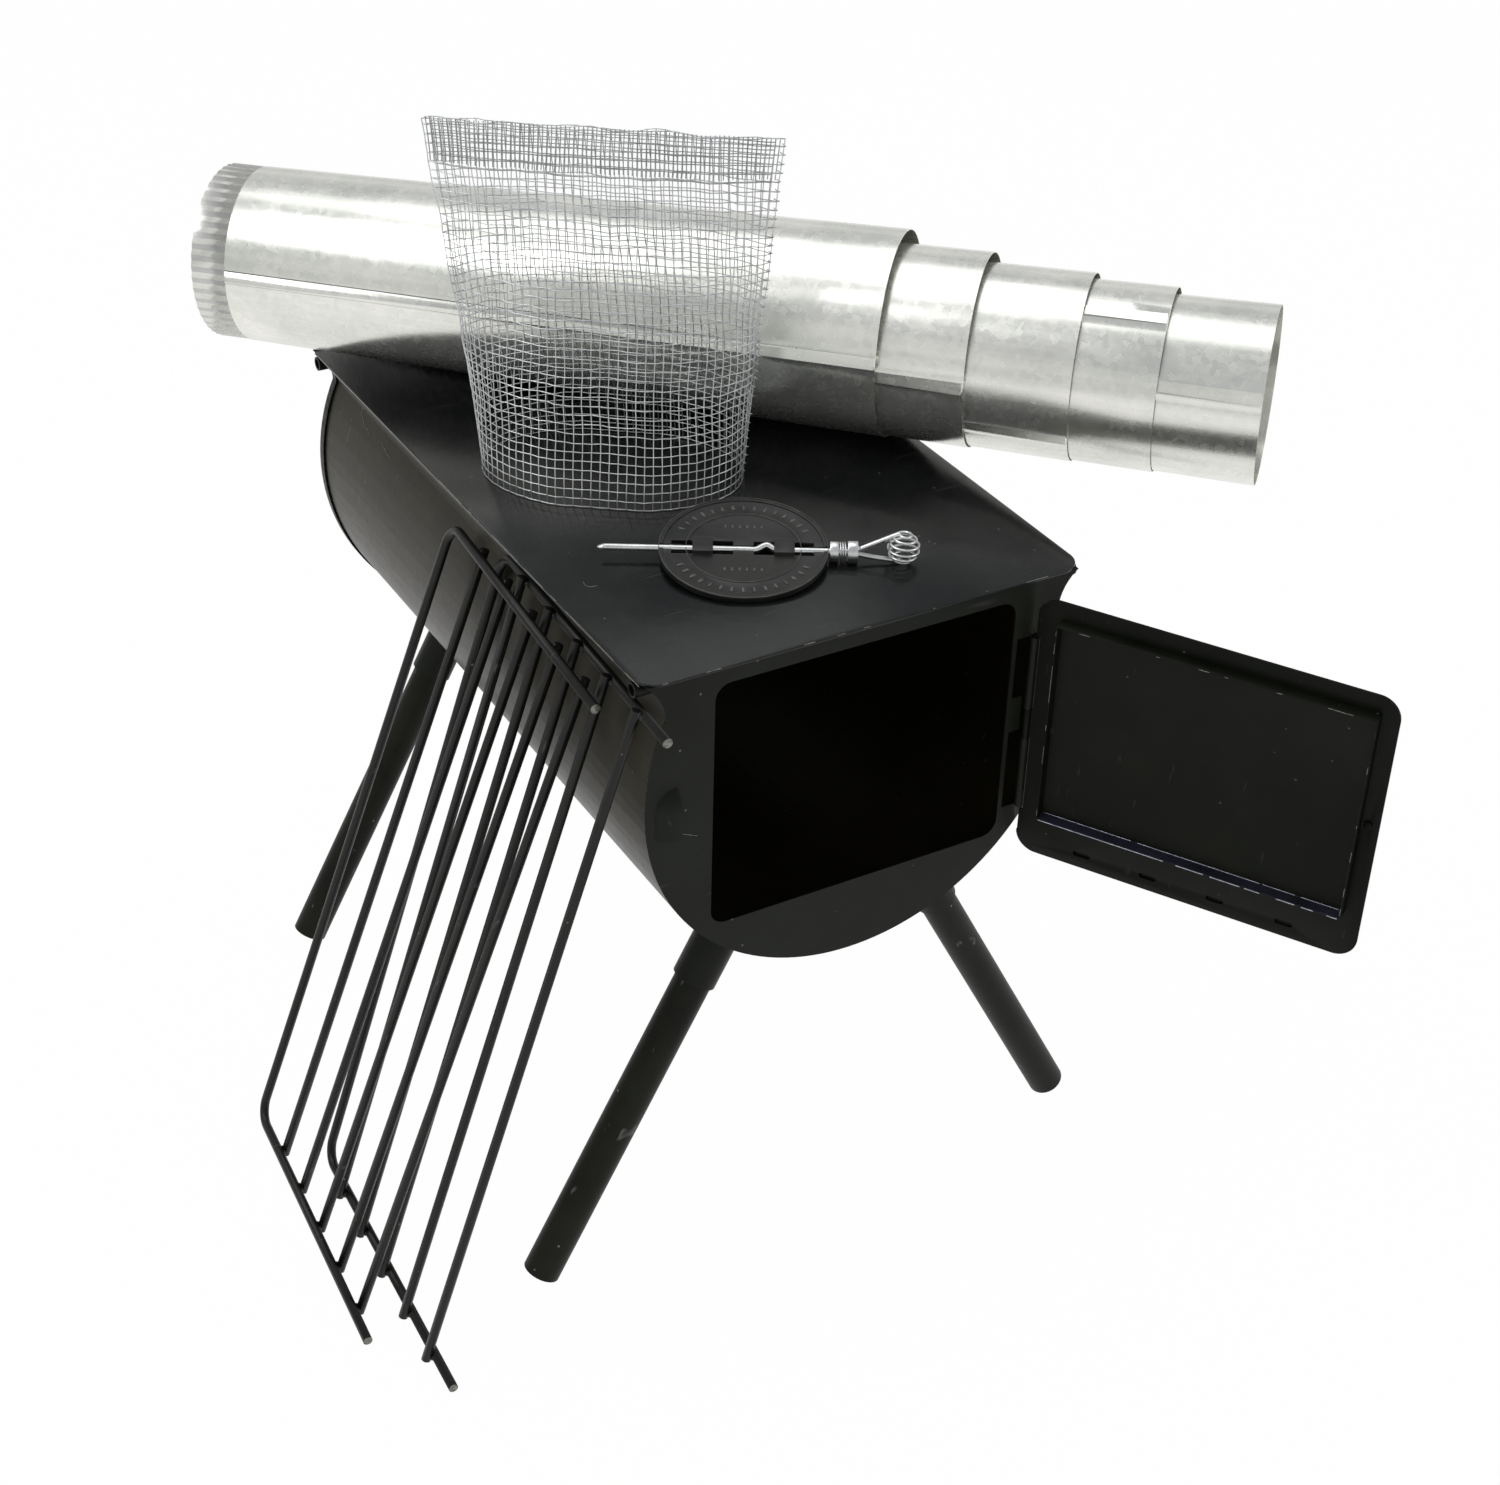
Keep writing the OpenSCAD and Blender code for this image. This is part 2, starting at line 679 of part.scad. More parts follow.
module rack_a_frame() {
    color([0.08, 0.08, 0.08]) lean_rack(rack_a_x, rack_a_y, rack_a_z, lean_a, yaw_a) rack_frame();
}

module rack_a_rods() {
    color([0.08, 0.08, 0.08]) lean_rack(rack_a_x, rack_a_y, rack_a_z, lean_a, yaw_a) rack_rods(-1);
}

module rack_b_frame() {
    color([0.08, 0.08, 0.08]) lean_rack(rack_b_x, rack_b_y, rack_b_z, lean_b, yaw_b) rack_frame();
}

module rack_b_rods() {
    color([0.08, 0.08, 0.08]) lean_rack(rack_b_x, rack_b_y, rack_b_z, lean_b, yaw_b) rack_rods(1);
}

function crimp_points(r) = [for (i = [0 : 2 * crimp_count - 1])
    (r + (i % 2 - 1 / 2) * crimp_amp) * [cos(i * 180 / crimp_count), sin(i * 180 / crimp_count)]];

// A tapered section with a crimped small end at x = 0
module pipe_section(k) {
    r1 = pipe_r * pipe_nest_shares[k];
    r0 = r1 - pipe_taper;
    body = pipe_l - crimp_l;
    tilt = atan(pipe_taper / pipe_l);
    flare = over * pipe_taper / body;
    rotate([0, 90, 0]) {
        translate([0, 0, crimp_l]) difference() {
            cylinder(h = body, r1 = r0, r2 = r1);
            translate([0, 0, -over])
                cylinder(h = body + 2 * over, r1 = r0 - pipe_wall - flare, r2 = r1 - pipe_wall + flare);
        }
        linear_extrude(crimp_l) difference() {
            polygon(crimp_points(r0 - crimp_amp));
            polygon(crimp_points(r0 - crimp_amp - pipe_wall));
        }
        translate([0, 0, crimp_l - pipe_wall])
            ring_tube(r0, r0 - crimp_amp * 2 - pipe_wall, 2 * pipe_wall);
    }
    // The lock seam runs the length of the plain part
    rotate([-90 + seam_angles[k], 0, 0]) translate([crimp_l, -seam_w / 2, r0 - pipe_wall / 2])
        rotate([0, -tilt, 0]) cube([body - over / 2, seam_w, seam_h + pipe_wall / 2]);
}

// Lies a section down: its underside is level, each inner one a little higher and further out
module laid_pipe(k) {
    r1 = pipe_r * pipe_nest_shares[k];
    r0 = r1 - pipe_taper;
    axis_z = rest_gap + k * (pipe_wall + nest_gap) + r0;
    color([0.72, 0.74, 0.76]) stove() translate([pipe_start[0], pipe_start[1], 0])
        rotate([0, 0, -pipe_heading]) translate([pipe_l * pipe_step_shares[k], 0, axis_z])
            rotate([0, -atan(pipe_taper / pipe_l), 0]) pipe_section(k);
}

module pipe_1() {
    laid_pipe(0);
}

module pipe_2() {
    laid_pipe(1);
}

module pipe_3() {
    laid_pipe(2);
}

module pipe_4() {
    laid_pipe(3);
}

module pipe_5() {
    laid_pipe(4);
}

// Oval at the mouth and pressed flat at the top, where it is as wide as half the oval's rim
module bag_shape(inset, z0, z1) {
    a = bag_w / 2 - inset;
    b = bag_d / 2 - inset;
    fold = PI / 2 * (3 * (a + b) - sqrt((3 * a + b) * (a + 3 * b)));
    hull() {
        translate([bag_at[0], bag_at[1], z0]) rotate([0, 0, -fold_heading]) scale([1, b / a, 1])
            cylinder(h = bag_ring_h, r = a, $fn = 48);
        translate([fold_at[0], fold_at[1], z1]) rotate([0, 0, -fold_heading])
            translate([-fold / 2, -bag_t, -bag_t]) cube([fold, 2 * bag_t, bag_t]);
    }
}

module spark_arrestor() {
    color([0.7, 0.72, 0.74]) stove() translate([0, 0, rest_gap]) difference() {
        bag_shape(0, 0, bag_h);
        bag_shape(bag_t, -bag_t, bag_h - 2 * bag_t);
    }
}

module on_damper() {
    stove() translate([damper_at[0], damper_at[1], damper_z]) rotate([0, 0, -damper_heading]) children();
}

module damper_plate() {
    inner_r = damper_r * inner_ring_share;
    strap_h = damper_t + damper_rod_d / 2;
    color([0.16, 0.16, 0.16]) on_damper() rotate([damper_lean, 0, 0]) {
        difference() {
            union() {
                translate([0, 0, -damper_t / 2]) cylinder(h = damper_t, r = damper_r);
                translate([0, 0, damper_t / 2]) ring_tube(damper_r, damper_r - damper_t, ring_h);
                translate([0, 0, damper_t / 2]) ring_tube(inner_r, inner_r - damper_t / 2, ring_h / 2);
            }
            translate([-damper_r - over, -bore_w / 2, -damper_t])
                cube([2 * (damper_r + over), bore_w, 2 * damper_t]);
            for (w = window_shares)
                translate([w * damper_r - window_w / 2, -window_w / 2, -damper_t])
                    cube([window_w, window_w, 2 * damper_t]);
        }
        // Two straps pass over the rod and one under it
        for (s = [-1, 1])
            translate([s * damper_r * strap_share - strap_w / 2, -window_w / 2, 0]) difference() {
                translate([0, 0, -damper_t / 2]) cube([strap_w, window_w, strap_h]);
                translate([-over, (window_w - bore_w) / 2, -damper_t])
                    cube([strap_w + 2 * over, bore_w, strap_h + fit]);
            }
        translate([-strap_w / 2, -window_w / 2, 0]) difference() {
            translate([0, 0, -damper_t / 2 - damper_rod_d / 2]) cube([strap_w, window_w, strap_h]);
            translate([-over, (window_w - bore_w) / 2, -damper_rod_d / 2 - fit])
                cube([strap_w + 2 * over, bore_w, 2 * damper_t + damper_rod_d]);
        }
    }
}

module bar(a, b, r) {
    d = b - a;
    translate(a) rotate([0, acos(d[2] / norm(d)), atan2(d[1], d[0])]) cylinder(h = norm(d), r = r);
}

function ball_point(t) = let (p = ball_end + t * (180 - 2 * ball_end), a = 180 + t * 360 * ball_turns)
    [ball_x + ball_r * sin(p) * cos(a), ball_r * sin(p) * sin(a), ball_z + ball_r * cos(p)];

module damper_rod() {
    rr = damper_rod_d / 2;
    bend_r = rr + 2 * fit;
    wr = loop_wire_d / 2;
    color([0.66, 0.67, 0.68]) on_damper() {
        bar([-rod_tip_l + 3 * rr - weld, 0, 0], [kink_x - kink_l, 0, 0], rr);
        translate([-rod_tip_l, 0, 0]) rotate([0, 90, 0]) cylinder(h = 3 * rr, r1 = rr / 4, r2 = rr);
        translate([kink_x - kink_l, 0, 0]) sphere(bend_r);
        bar([kink_x - kink_l, 0, 0], [kink_x, kink_y, rr], rr);
        translate([kink_x, kink_y, rr]) sphere(bend_r);
        bar([kink_x, kink_y, rr], [kink_x + kink_l, 0, 0], rr);
        translate([kink_x + kink_l, 0, 0]) sphere(bend_r);
        bar([kink_x + kink_l, 0, 0], [wire_x, 0, 0], rr);
        bar([wire_x - rr, 0, rr / 3], ball_point(0), wr);
        bar([wire_x - rr, 0, -rr / 3], ball_point(1), wr);
    }
}

module damper_nuts() {
    color([0.6, 0.61, 0.62]) on_damper() {
        translate([nut_1_x, 0, 0]) rotate([0, 90, 0])
            ring_tube(nut_r * nut_1_share, damper_rod_d / 2, nut_1_w);
        translate([nut_2_x, 0, 0]) rotate([0, 90, 0]) ring_tube(nut_r, damper_rod_d / 2, nut_2_w);
    }
}

// A tube swept along points, with round sections square to the path
function unit(v) = v / norm(v);
function tube_ring(p, d, up, r, n) = let (s = unit(cross(d, up)), u = cross(s, d))
    [for (i = [0 : n - 1]) p + r * (cos(i * 360 / n) * s + sin(i * 360 / n) * u)];

module swept_tube(pts, r, n, up) {
    m = len(pts);
    rings = [for (i = [0 : m - 1])
        tube_ring(pts[i], unit(pts[min(i + 1, m - 1)] - pts[max(i - 1, 0)]), up, r, n)];
    points = [for (ring = rings) for (p = ring) p];
    sides = [for (i = [0 : m - 2]) for (j = [0 : n - 1]) let (a = i * n + j, b = i * n + (j + 1) % n)
        for (f = [[a, a + n, b + n], [a, b + n, b]]) f];
    cap_0 = [for (j = [1 : n - 2]) [0, j, j + 1]];
    cap_1 = [for (j = [1 : n - 2]) [(m - 1) * n, (m - 1) * n + j + 1, (m - 1) * n + j]];
    polyhedron(points, concat(sides, cap_0, cap_1), convexity = 10);
}

function spring_point(t) = [nut_1_x + nut_1_w + spring_wire_d / 2 + t * (spring_l - spring_wire_d),
    spring_r * cos(t * 360 * spring_turns), spring_r * sin(t * 360 * spring_turns)];

ball_pts = [for (i = [0 : ball_steps]) ball_point(i / ball_steps)];
spring_pts = [for (i = [0 : spring_steps]) spring_point(i / spring_steps)];

// Least gap of a coil to itself, between points more than half a turn apart
function least_gap(pts, d) = min([for (i = [0 : len(pts) - 1], j = [0 : len(pts) - 1])
    if (j - i > coil_rings / 2) norm(pts[i] - pts[j]) - d]);
echo(ball_gap = least_gap(ball_pts, ball_wire_d), spring_gap = least_gap(spring_pts, spring_wire_d));

module damper_spring() {
    color([0.66, 0.67, 0.68]) on_damper()
        swept_tube(spring_pts, spring_wire_d / 2, coil_sides, [1, 0, 0]);
}

module damper_ball() {
    color([0.72, 0.73, 0.74]) on_damper()
        swept_tube(ball_pts, ball_wire_d / 2, coil_sides, [0, 0, 1]);
}

barrel();
front_plate();
rear_cap();
top_plate();
flue_collar();
leg_sockets();
rack_sockets();
hinge_pin();
latch_keeper();
door_panel();
door_liner();
slider_guides();
latch_bolt();
draft_slider();
slider_knob();
latch_handle();
leg_front_left();
leg_front_right();
leg_rear_left();
leg_rear_right();
rack_a_frame();
rack_a_rods();
rack_b_frame();
rack_b_rods();
pipe_1();
pipe_2();
pipe_3();
pipe_4();
pipe_5();
spark_arrestor();
damper_plate();
damper_rod();
damper_nuts();
damper_spring();
damper_ball();
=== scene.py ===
import bpy
import bmesh
import math
from mathutils import Matrix, Vector, noise


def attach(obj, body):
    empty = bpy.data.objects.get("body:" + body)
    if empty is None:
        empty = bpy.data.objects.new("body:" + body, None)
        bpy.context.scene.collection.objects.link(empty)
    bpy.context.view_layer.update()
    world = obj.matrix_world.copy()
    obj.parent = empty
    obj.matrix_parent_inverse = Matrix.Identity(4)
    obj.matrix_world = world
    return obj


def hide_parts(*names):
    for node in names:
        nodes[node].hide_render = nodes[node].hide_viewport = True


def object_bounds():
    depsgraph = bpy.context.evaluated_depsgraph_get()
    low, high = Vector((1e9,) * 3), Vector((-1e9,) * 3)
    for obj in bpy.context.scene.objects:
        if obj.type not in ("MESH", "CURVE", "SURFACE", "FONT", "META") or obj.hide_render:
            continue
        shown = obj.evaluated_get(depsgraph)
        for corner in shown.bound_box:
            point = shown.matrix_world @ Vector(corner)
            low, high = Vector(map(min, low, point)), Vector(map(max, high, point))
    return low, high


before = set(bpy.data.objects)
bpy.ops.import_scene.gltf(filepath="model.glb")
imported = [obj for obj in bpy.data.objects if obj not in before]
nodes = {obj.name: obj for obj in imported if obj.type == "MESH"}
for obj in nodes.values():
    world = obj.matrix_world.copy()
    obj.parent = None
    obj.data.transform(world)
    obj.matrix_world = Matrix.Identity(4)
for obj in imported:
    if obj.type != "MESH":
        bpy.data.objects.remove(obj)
cad_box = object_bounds()


# ---- Camera: stands to the left of the door and above the flat top, as in the photograph.
# Its place, its turn and its lens come from a fit of the flat top, the barrel's front and the opening.
camera_at = (-0.80321, -1.640873, 0.871777)
camera_right = Vector((0.86825, -0.49546, 0.02566))
camera_down = Vector((-0.25779, -0.49474, -0.82993))
camera_forward = Vector((0.4239, 0.71397, -0.55728))
sensor_w, focal_length, farthest_seen = 36, 61.632, 50


def placed(name, data):
    """A new object in the scene."""
    thing = bpy.data.objects.new(name, data)
    bpy.context.collection.objects.link(thing)
    return thing


camera = placed("camera", bpy.data.cameras.new("camera"))
camera.matrix_world = Matrix.Translation(camera_at) @ Matrix(
    (camera_right, -camera_down, -camera_forward)).transposed().to_4x4()
camera.data.sensor_width = sensor_w
camera.data.lens = focal_length
camera.data.clip_end = farthest_seen
bpy.context.scene.camera = camera
bpy.context.scene.view_settings.view_transform = "Standard"


# ---- Room: a pale floor under the feet, a pale world, and three soft boxes.
# The floor shows white to the camera and in the metal, and keeps a faint shadow of the stove.
room_light = 0.8
room_bands = (
    (0.35, (1.0, 1.0, 0.98)), (0.56, (0.70, 0.71, 0.72)), (0.64, (1.0, 1.0, 0.99)), (0.75, (0.62, 0.63, 0.66)))
floor_reach, floor_gap = 9, 0.0002
floor_grey, floor_rough, floor_glow = 0.86, 0.9, 0.985
aimed_at = Vector((0, -0.1, -0.1))


def set_ramp(node, stops):
    """Sets a colour ramp from its stops, each a place on the ramp and a colour."""
    ramp = node.color_ramp.elements
    for element, (place, colour) in ((ramp[0], stops[0]), (ramp[1], stops[-1])):
        element.position = place
        element.color = (*colour, 1)
    for place, colour in stops[1:-1]:
        ramp.new(place).color = (*colour, 1)


world = bpy.data.worlds.new("room")
bpy.context.scene.world = world
world.use_nodes = True
tree = world.node_tree
tree.nodes.clear()
out = tree.nodes.new("ShaderNodeOutputWorld")
seen = tree.nodes.new("ShaderNodeBackground")
lit = tree.nodes.new("ShaderNodeBackground")
mix = tree.nodes.new("ShaderNodeMixShader")
path = tree.nodes.new("ShaderNodeLightPath")
seen.inputs["Color"].default_value = (1, 1, 1, 1)
lit.inputs["Strength"].default_value = room_light
sky = tree.nodes.new("ShaderNodeTexCoord")
split = tree.nodes.new("ShaderNodeSeparateXYZ")
rise = tree.nodes.new("ShaderNodeValToRGB")
set_ramp(rise, room_bands)
half = tree.nodes.new("ShaderNodeMapRange")
half.inputs["From Min"].default_value = -1
tree.links.new(sky.outputs["Generated"], split.inputs[0])
tree.links.new(split.outputs["Z"], half.inputs["Value"])
tree.links.new(half.outputs[0], rise.inputs[0])
tree.links.new(rise.outputs[0], lit.inputs["Color"])
tree.links.new(path.outputs["Is Camera Ray"], mix.inputs[0])
tree.links.new(lit.outputs[0], mix.inputs[1])
tree.links.new(seen.outputs[0], mix.inputs[2])
tree.links.new(mix.outputs[0], out.inputs[0])

floor_z = cad_box[0][2]
me = bpy.data.meshes.new("floor")
me.from_pydata(
    [(x * floor_reach, y * floor_reach, floor_z - floor_gap) for x, y in ((-1, -1), (1, -1), (1, 1), (-1, 1))],
    [], [(0, 1, 2, 3)])
placed("floor", me)
mat = bpy.data.materials.new("pale_floor")
mat.use_nodes = True
tree = mat.node_tree
shade = tree.nodes["Principled BSDF"]
shade.inputs["Base Color"].default_value = (floor_grey, floor_grey, floor_grey, 1)
shade.inputs["Roughness"].default_value = floor_rough
glow = tree.nodes.new("ShaderNodeEmission")
path = tree.nodes.new("ShaderNodeLightPath")
rays = tree.nodes.new("ShaderNodeMath")
rays.operation = "MAXIMUM"
part = tree.nodes.new("ShaderNodeMath")
part.operation = "MULTIPLY"
part.inputs[1].default_value = floor_glow
mix = tree.nodes.new("ShaderNodeMixShader")
tree.links.new(path.outputs["Is Camera Ray"], rays.inputs[0])
tree.links.new(path.outputs["Is Glossy Ray"], rays.inputs[1])
tree.links.new(rays.outputs[0], part.inputs[0])
tree.links.new(part.outputs[0], mix.inputs[0])
tree.links.new(shade.outputs[0], mix.inputs[1])
tree.links.new(glow.outputs[0], mix.inputs[2])
tree.links.new(mix.outputs[0], tree.nodes["Material Output"].inputs[0])
me.materials.append(mat)

for name, at, size, power in (
    ("softbox_left", (-1.4, -0.05, 1.7), 1.15, 13),
    ("softbox_right", (1.9, -1.4, 1.5), 1.4, 10),
    ("softbox_top", (0.1, 0.5, 2.3), 1.8, 14),
):
    lamp = placed(name, bpy.data.lights.new(name, "AREA"))
    lamp.data.shape = "SQUARE"
    lamp.data.size = size
    lamp.data.energy = power
    lamp.location = at
    lamp.rotation_euler = (aimed_at - Vector(at)).to_track_quat("-Z", "Y").to_euler()


# ---- Barrel: one sheet of blued steel rolled to a keyhole section, necked in under the flat top.
# Its finish is a brown-black scale with a soft metal shine, rubbed and lightly scratched.
barrel_r, barrel_z = 0.168, -0.1
same_point, flat_within, sharp_from = 0.000004, 0.008, math.radians(40)


def blued_steel(name, dark, light, rough, metal, grain, specks=0.0, scratch=0.0, shine=0.5):
    """Sheet or wire in two clouded tones, with fine grain and, if asked for, specks of dust and scratches."""
    mat = bpy.data.materials.new(name)
    mat.use_nodes = True
    t = mat.node_tree
    add = lambda kind: t.nodes.new("ShaderNode" + kind)
    shade = t.nodes["Principled BSDF"]
    place = add("TexCoord")
    cloud = add("TexNoise")
    cloud.inputs["Scale"].default_value = grain
    cloud.inputs["Detail"].default_value = 6
    cloud.inputs["Roughness"].default_value = 0.62
    tone = add("ValToRGB")
    set_ramp(tone, ((0.36, dark), (0.66, light)))
    t.links.new(place.outputs["Object"], cloud.inputs["Vector"])
    t.links.new(cloud.outputs["Fac"], tone.inputs[0])
    colour = tone.outputs[0]
    fine = add("TexNoise")
    fine.inputs["Scale"].default_value = 140
    fine.inputs["Detail"].default_value = 4
    t.links.new(place.outputs["Object"], fine.inputs["Vector"])
    gloss = add("MapRange")
    gloss.inputs["To Min"].default_value = rough - 0.1
    gloss.inputs["To Max"].default_value = rough + 0.12
    worn = add("MixRGB")
    worn.inputs[0].default_value = 0.45
    t.links.new(cloud.outputs["Fac"], worn.inputs[1])
    t.links.new(fine.outputs["Fac"], worn.inputs[2])
    t.links.new(worn.outputs[0], gloss.inputs["Value"])
    t.links.new(gloss.outputs[0], shade.inputs["Roughness"])
    bump = add("Bump")
    bump.inputs["Strength"].default_value = 0.12
    bump.inputs["Distance"].default_value = 0.0006
    t.links.new(fine.outputs["Fac"], bump.inputs["Height"])
    t.links.new(bump.outputs[0], shade.inputs["Normal"])
    if scratch:
        turn = add("Mapping")
        turn.inputs["Rotation"].default_value = (0.3, 0.5, 0.7)
        turn.inputs["Scale"].default_value = (9, 260, 60)
        line = add("TexNoise")
        line.inputs["Scale"].default_value = 1.0
        line.inputs["Detail"].default_value = 2
        cut = add("ValToRGB")
        set_ramp(cut, ((0.70, (0, 0, 0)), (0.78, (scratch, scratch, scratch))))
        over = add("MixRGB")
        over.inputs[2].default_value = (0.32, 0.32, 0.31, 1)
        t.links.new(place.outputs["Object"], turn.inputs["Vector"])
        t.links.new(turn.outputs[0], line.inputs["Vector"])
        t.links.new(line.outputs["Fac"], cut.inputs[0])
        t.links.new(cut.outputs[0], over.inputs[0])
        t.links.new(colour, over.inputs[1])
        colour = over.outputs[0]
    if specks:
        cell = add("TexVoronoi")
        cell.inputs["Scale"].default_value = 55
        dot = add("ValToRGB")
        set_ramp(dot, ((0.03, (specks, specks, specks)), (0.06, (0, 0, 0))))
        dust = add("MixRGB")
        dust.inputs[2].default_value = (0.5, 0.5, 0.47, 1)
        t.links.new(place.outputs["Object"], cell.inputs["Vector"])
        t.links.new(cell.outputs["Distance"], dot.inputs[0])
        t.links.new(dot.outputs[0], dust.inputs[0])
        t.links.new(colour, dust.inputs[1])
        colour = dust.outputs[0]
    t.links.new(colour, shade.inputs["Base Color"])
    shade.inputs["Metallic"].default_value = metal
    shade.inputs["Specular IOR Level"].default_value = shine
    return mat


def finish_as(node, mat):
    """Gives a CAD node that stays as it is its material."""
    for place in nodes[node].material_slots:
        place.material = mat


def keep_made(piece, work):
    """Keeps the mesh that a modifier makes, and takes the modifier off."""
    made = bpy.data.meshes.new_from_object(piece.evaluated_get(bpy.context.evaluated_depsgraph_get()))
    piece.modifiers.remove(work)
    piece.data = made


def eased(node, body, mat, width=0.0, keep_angle=32):
    """A copy of a rigid piece with its sheet edges rounded over, which stands for it."""
    me = nodes[node].data.copy()
    work = bmesh.new()
    work.from_mesh(me)
    bmesh.ops.remove_doubles(work, verts=work.verts, dist=same_point)
    if width:
        bmesh.ops.dissolve_limit(work, angle_limit=flat_within, verts=work.verts, edges=work.edges)
    work.to_mesh(me)
    work.free()
    piece = placed(node + "_made", me)
    if width:
        round_off = piece.modifiers.new("edges", "BEVEL")
        round_off.width = width
        round_off.segments = 2
        round_off.limit_method = "ANGLE"
        round_off.angle_limit = sharp_from
        keep_made(piece, round_off)
    me = piece.data
    me.materials.clear()
    me.materials.append(mat)
    for face in me.polygons:
        face.material_index = 0
        face.use_smooth = True
    me.set_sharp_from_angle(angle=math.radians(keep_angle))
    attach(piece, body)
    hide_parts(node)
    return piece


barrel_steel = blued_steel("barrel_blued_steel", dark=(0.0130, 0.0115, 0.0060), light=(0.030, 0.026, 0.0130),
    rough=0.36, metal=0.5, grain=5.0, specks=0.15, scratch=0.12, shine=0.12)
eased("barrel", "stove", barrel_steel)


def on_barrel(y, turn, out=0.0):
    """A point on the barrel's left side: turn is in degrees from its lowest line."""
    a = math.radians(turn)
    return Vector((-(barrel_r + out) * math.sin(a), y, barrel_z - (barrel_r + out) * math.cos(a)))


# ---- End plates: the front plate, pressed and flanged, with the latch's keeper, and the rear cap.
# They are black satin sheet, a little greener than the barrel, scuffed round the keeper.
plate_steel = blued_steel("plate_black_steel", dark=(0.0060, 0.0074, 0.0046), light=(0.0112, 0.0132, 0.0086),
    rough=0.40, metal=0.0, grain=9.0, specks=0.25, scratch=0.10, shine=0.13)
for node in ("front_plate", "rear_cap", "latch_keeper"):
    eased(node, "stove", plate_steel)
for node in ("leg_sockets", "rack_sockets"):
    finish_as(node, plate_steel)


# ---- Flat top: 2 mm sheet with rounded front corners, smooth and a little glossier than the body.
# The flue's collar stands in it, under the pipes.
top_edge = 0.0005
top_steel = blued_steel("flat_top_steel", dark=(0.0038, 0.0046, 0.0044), light=(0.0190, 0.0200, 0.0188),
    rough=0.20, metal=0.1, grain=6.0, specks=0.12, scratch=0.10, shine=0.26)
eased("top_plate", "stove", top_steel, top_edge)
finish_as("flue_collar", plate_steel)


# ---- Legs: plain steel tube, blacked, with rubbed patches, pulled out of four short sockets.
# Each socket is joined to the barrel by a rough bead of weld laid round its root.
socket_lean, socket_root, socket_r = math.radians(28.5), math.radians(28), 0.0166
socket_places = (-0.393, 0.069)
weld_r, weld_steps, weld_rough, weld_lie = 0.0015, 72, 0.0006, 0.0005
leg_steel = blued_steel("leg_tube_steel", dark=(0.0070, 0.0082, 0.0050), light=(0.0135, 0.0150, 0.0090),
    rough=0.42, metal=0.0, grain=14.0, specks=0.4, scratch=0.35, shine=0.11)
for node in ("leg_front_left", "leg_front_right", "leg_rear_left", "leg_rear_right"):
    finish_as(node, leg_steel)


def wound_wire(name, runs, radius, mat, sides):
    """Turns runs of points into round wire of one radius."""
    points, edges = [], []
    for run in runs:
        first = len(points)
        points += run
        edges += [(i, i + 1) for i in range(first, len(points) - 1)]
    me = bpy.data.meshes.new(name)
    me.from_pydata(points, edges, [])
    piece = placed(name, me)
    t = bpy.data.node_groups.new(name + "_drawing", "GeometryNodeTree")
    sockets = t.interface
    sockets.new_socket("Geometry", in_out="INPUT", socket_type="NodeSocketGeometry")
    size = sockets.new_socket("Wire Radius", in_out="INPUT", socket_type="NodeSocketFloat")
    count = sockets.new_socket("Sides", in_out="INPUT", socket_type="NodeSocketInt")
    sockets.new_socket("Geometry", in_out="OUTPUT", socket_type="NodeSocketGeometry")
    add = t.nodes.new
    start, end = add("NodeGroupInput"), add("NodeGroupOutput")
    line, ring = add("GeometryNodeMeshToCurve"), add("GeometryNodeCurvePrimitiveCircle")
    sweep, soft = add("GeometryNodeCurveToMesh"), add("GeometryNodeSetShadeSmooth")
    real, paint = add("GeometryNodeRealizeInstances"), add("GeometryNodeSetMaterial")
    sweep.inputs["Fill Caps"].default_value = True
    paint.inputs["Material"].default_value = mat
    t.links.new(start.outputs["Geometry"], line.inputs["Mesh"])
    t.links.new(start.outputs["Wire Radius"], ring.inputs["Radius"])
    t.links.new(start.outputs["Sides"], ring.inputs["Resolution"])
    t.links.new(line.outputs["Curve"], sweep.inputs["Curve"])
    t.links.new(ring.outputs["Curve"], sweep.inputs["Profile Curve"])
    t.links.new(sweep.outputs["Mesh"], soft.inputs["Geometry"])
    t.links.new(soft.outputs[0], real.inputs[0])
    t.links.new(real.outputs[0], paint.inputs["Geometry"])
    t.links.new(paint.outputs[0], end.inputs[0])
    work = piece.modifiers.new("drawing", "NODES")
    work.node_group = t
    work[size.identifier] = radius
    work[count.identifier] = sides
    keep_made(piece, work)
    return piece


bead_steel = blued_steel("weld_bead_steel", dark=(0.010, 0.011, 0.009), light=(0.034, 0.034, 0.029),
    rough=0.45, metal=0.3, grain=60.0)
leg_welds = []
for side in (-1, 1):
    for y in socket_places:
        root = Vector((side * barrel_r * math.sin(socket_root), y, barrel_z - barrel_r * math.cos(socket_root)))
        axis = Vector((side * math.sin(socket_lean), 0, -math.cos(socket_lean)))
        wide = Vector((0, 1, 0)).cross(axis)
        bead = []
        for k in range(weld_steps + 1):
            a = 2 * math.pi * (k % weld_steps) / weld_steps
            spot = root + (wide * math.cos(a) + Vector((0, 1, 0)) * math.sin(a)) * socket_r
            # Each step along the socket brings the point nearer to the barrel's round.
            for _ in range(5):
                spot += axis * (barrel_r + weld_lie - math.hypot(spot.x, spot.z - barrel_z))
            bump = noise.noise(Vector(((k % weld_steps) * 0.7, side, y * 9)))
            bead.append(tuple(spot + axis * weld_rough * bump))
        leg_welds.append(bead)
leg_welds = wound_wire("leg_socket_welds", leg_welds, weld_r, bead_steel, 8)
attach(leg_welds, "stove")


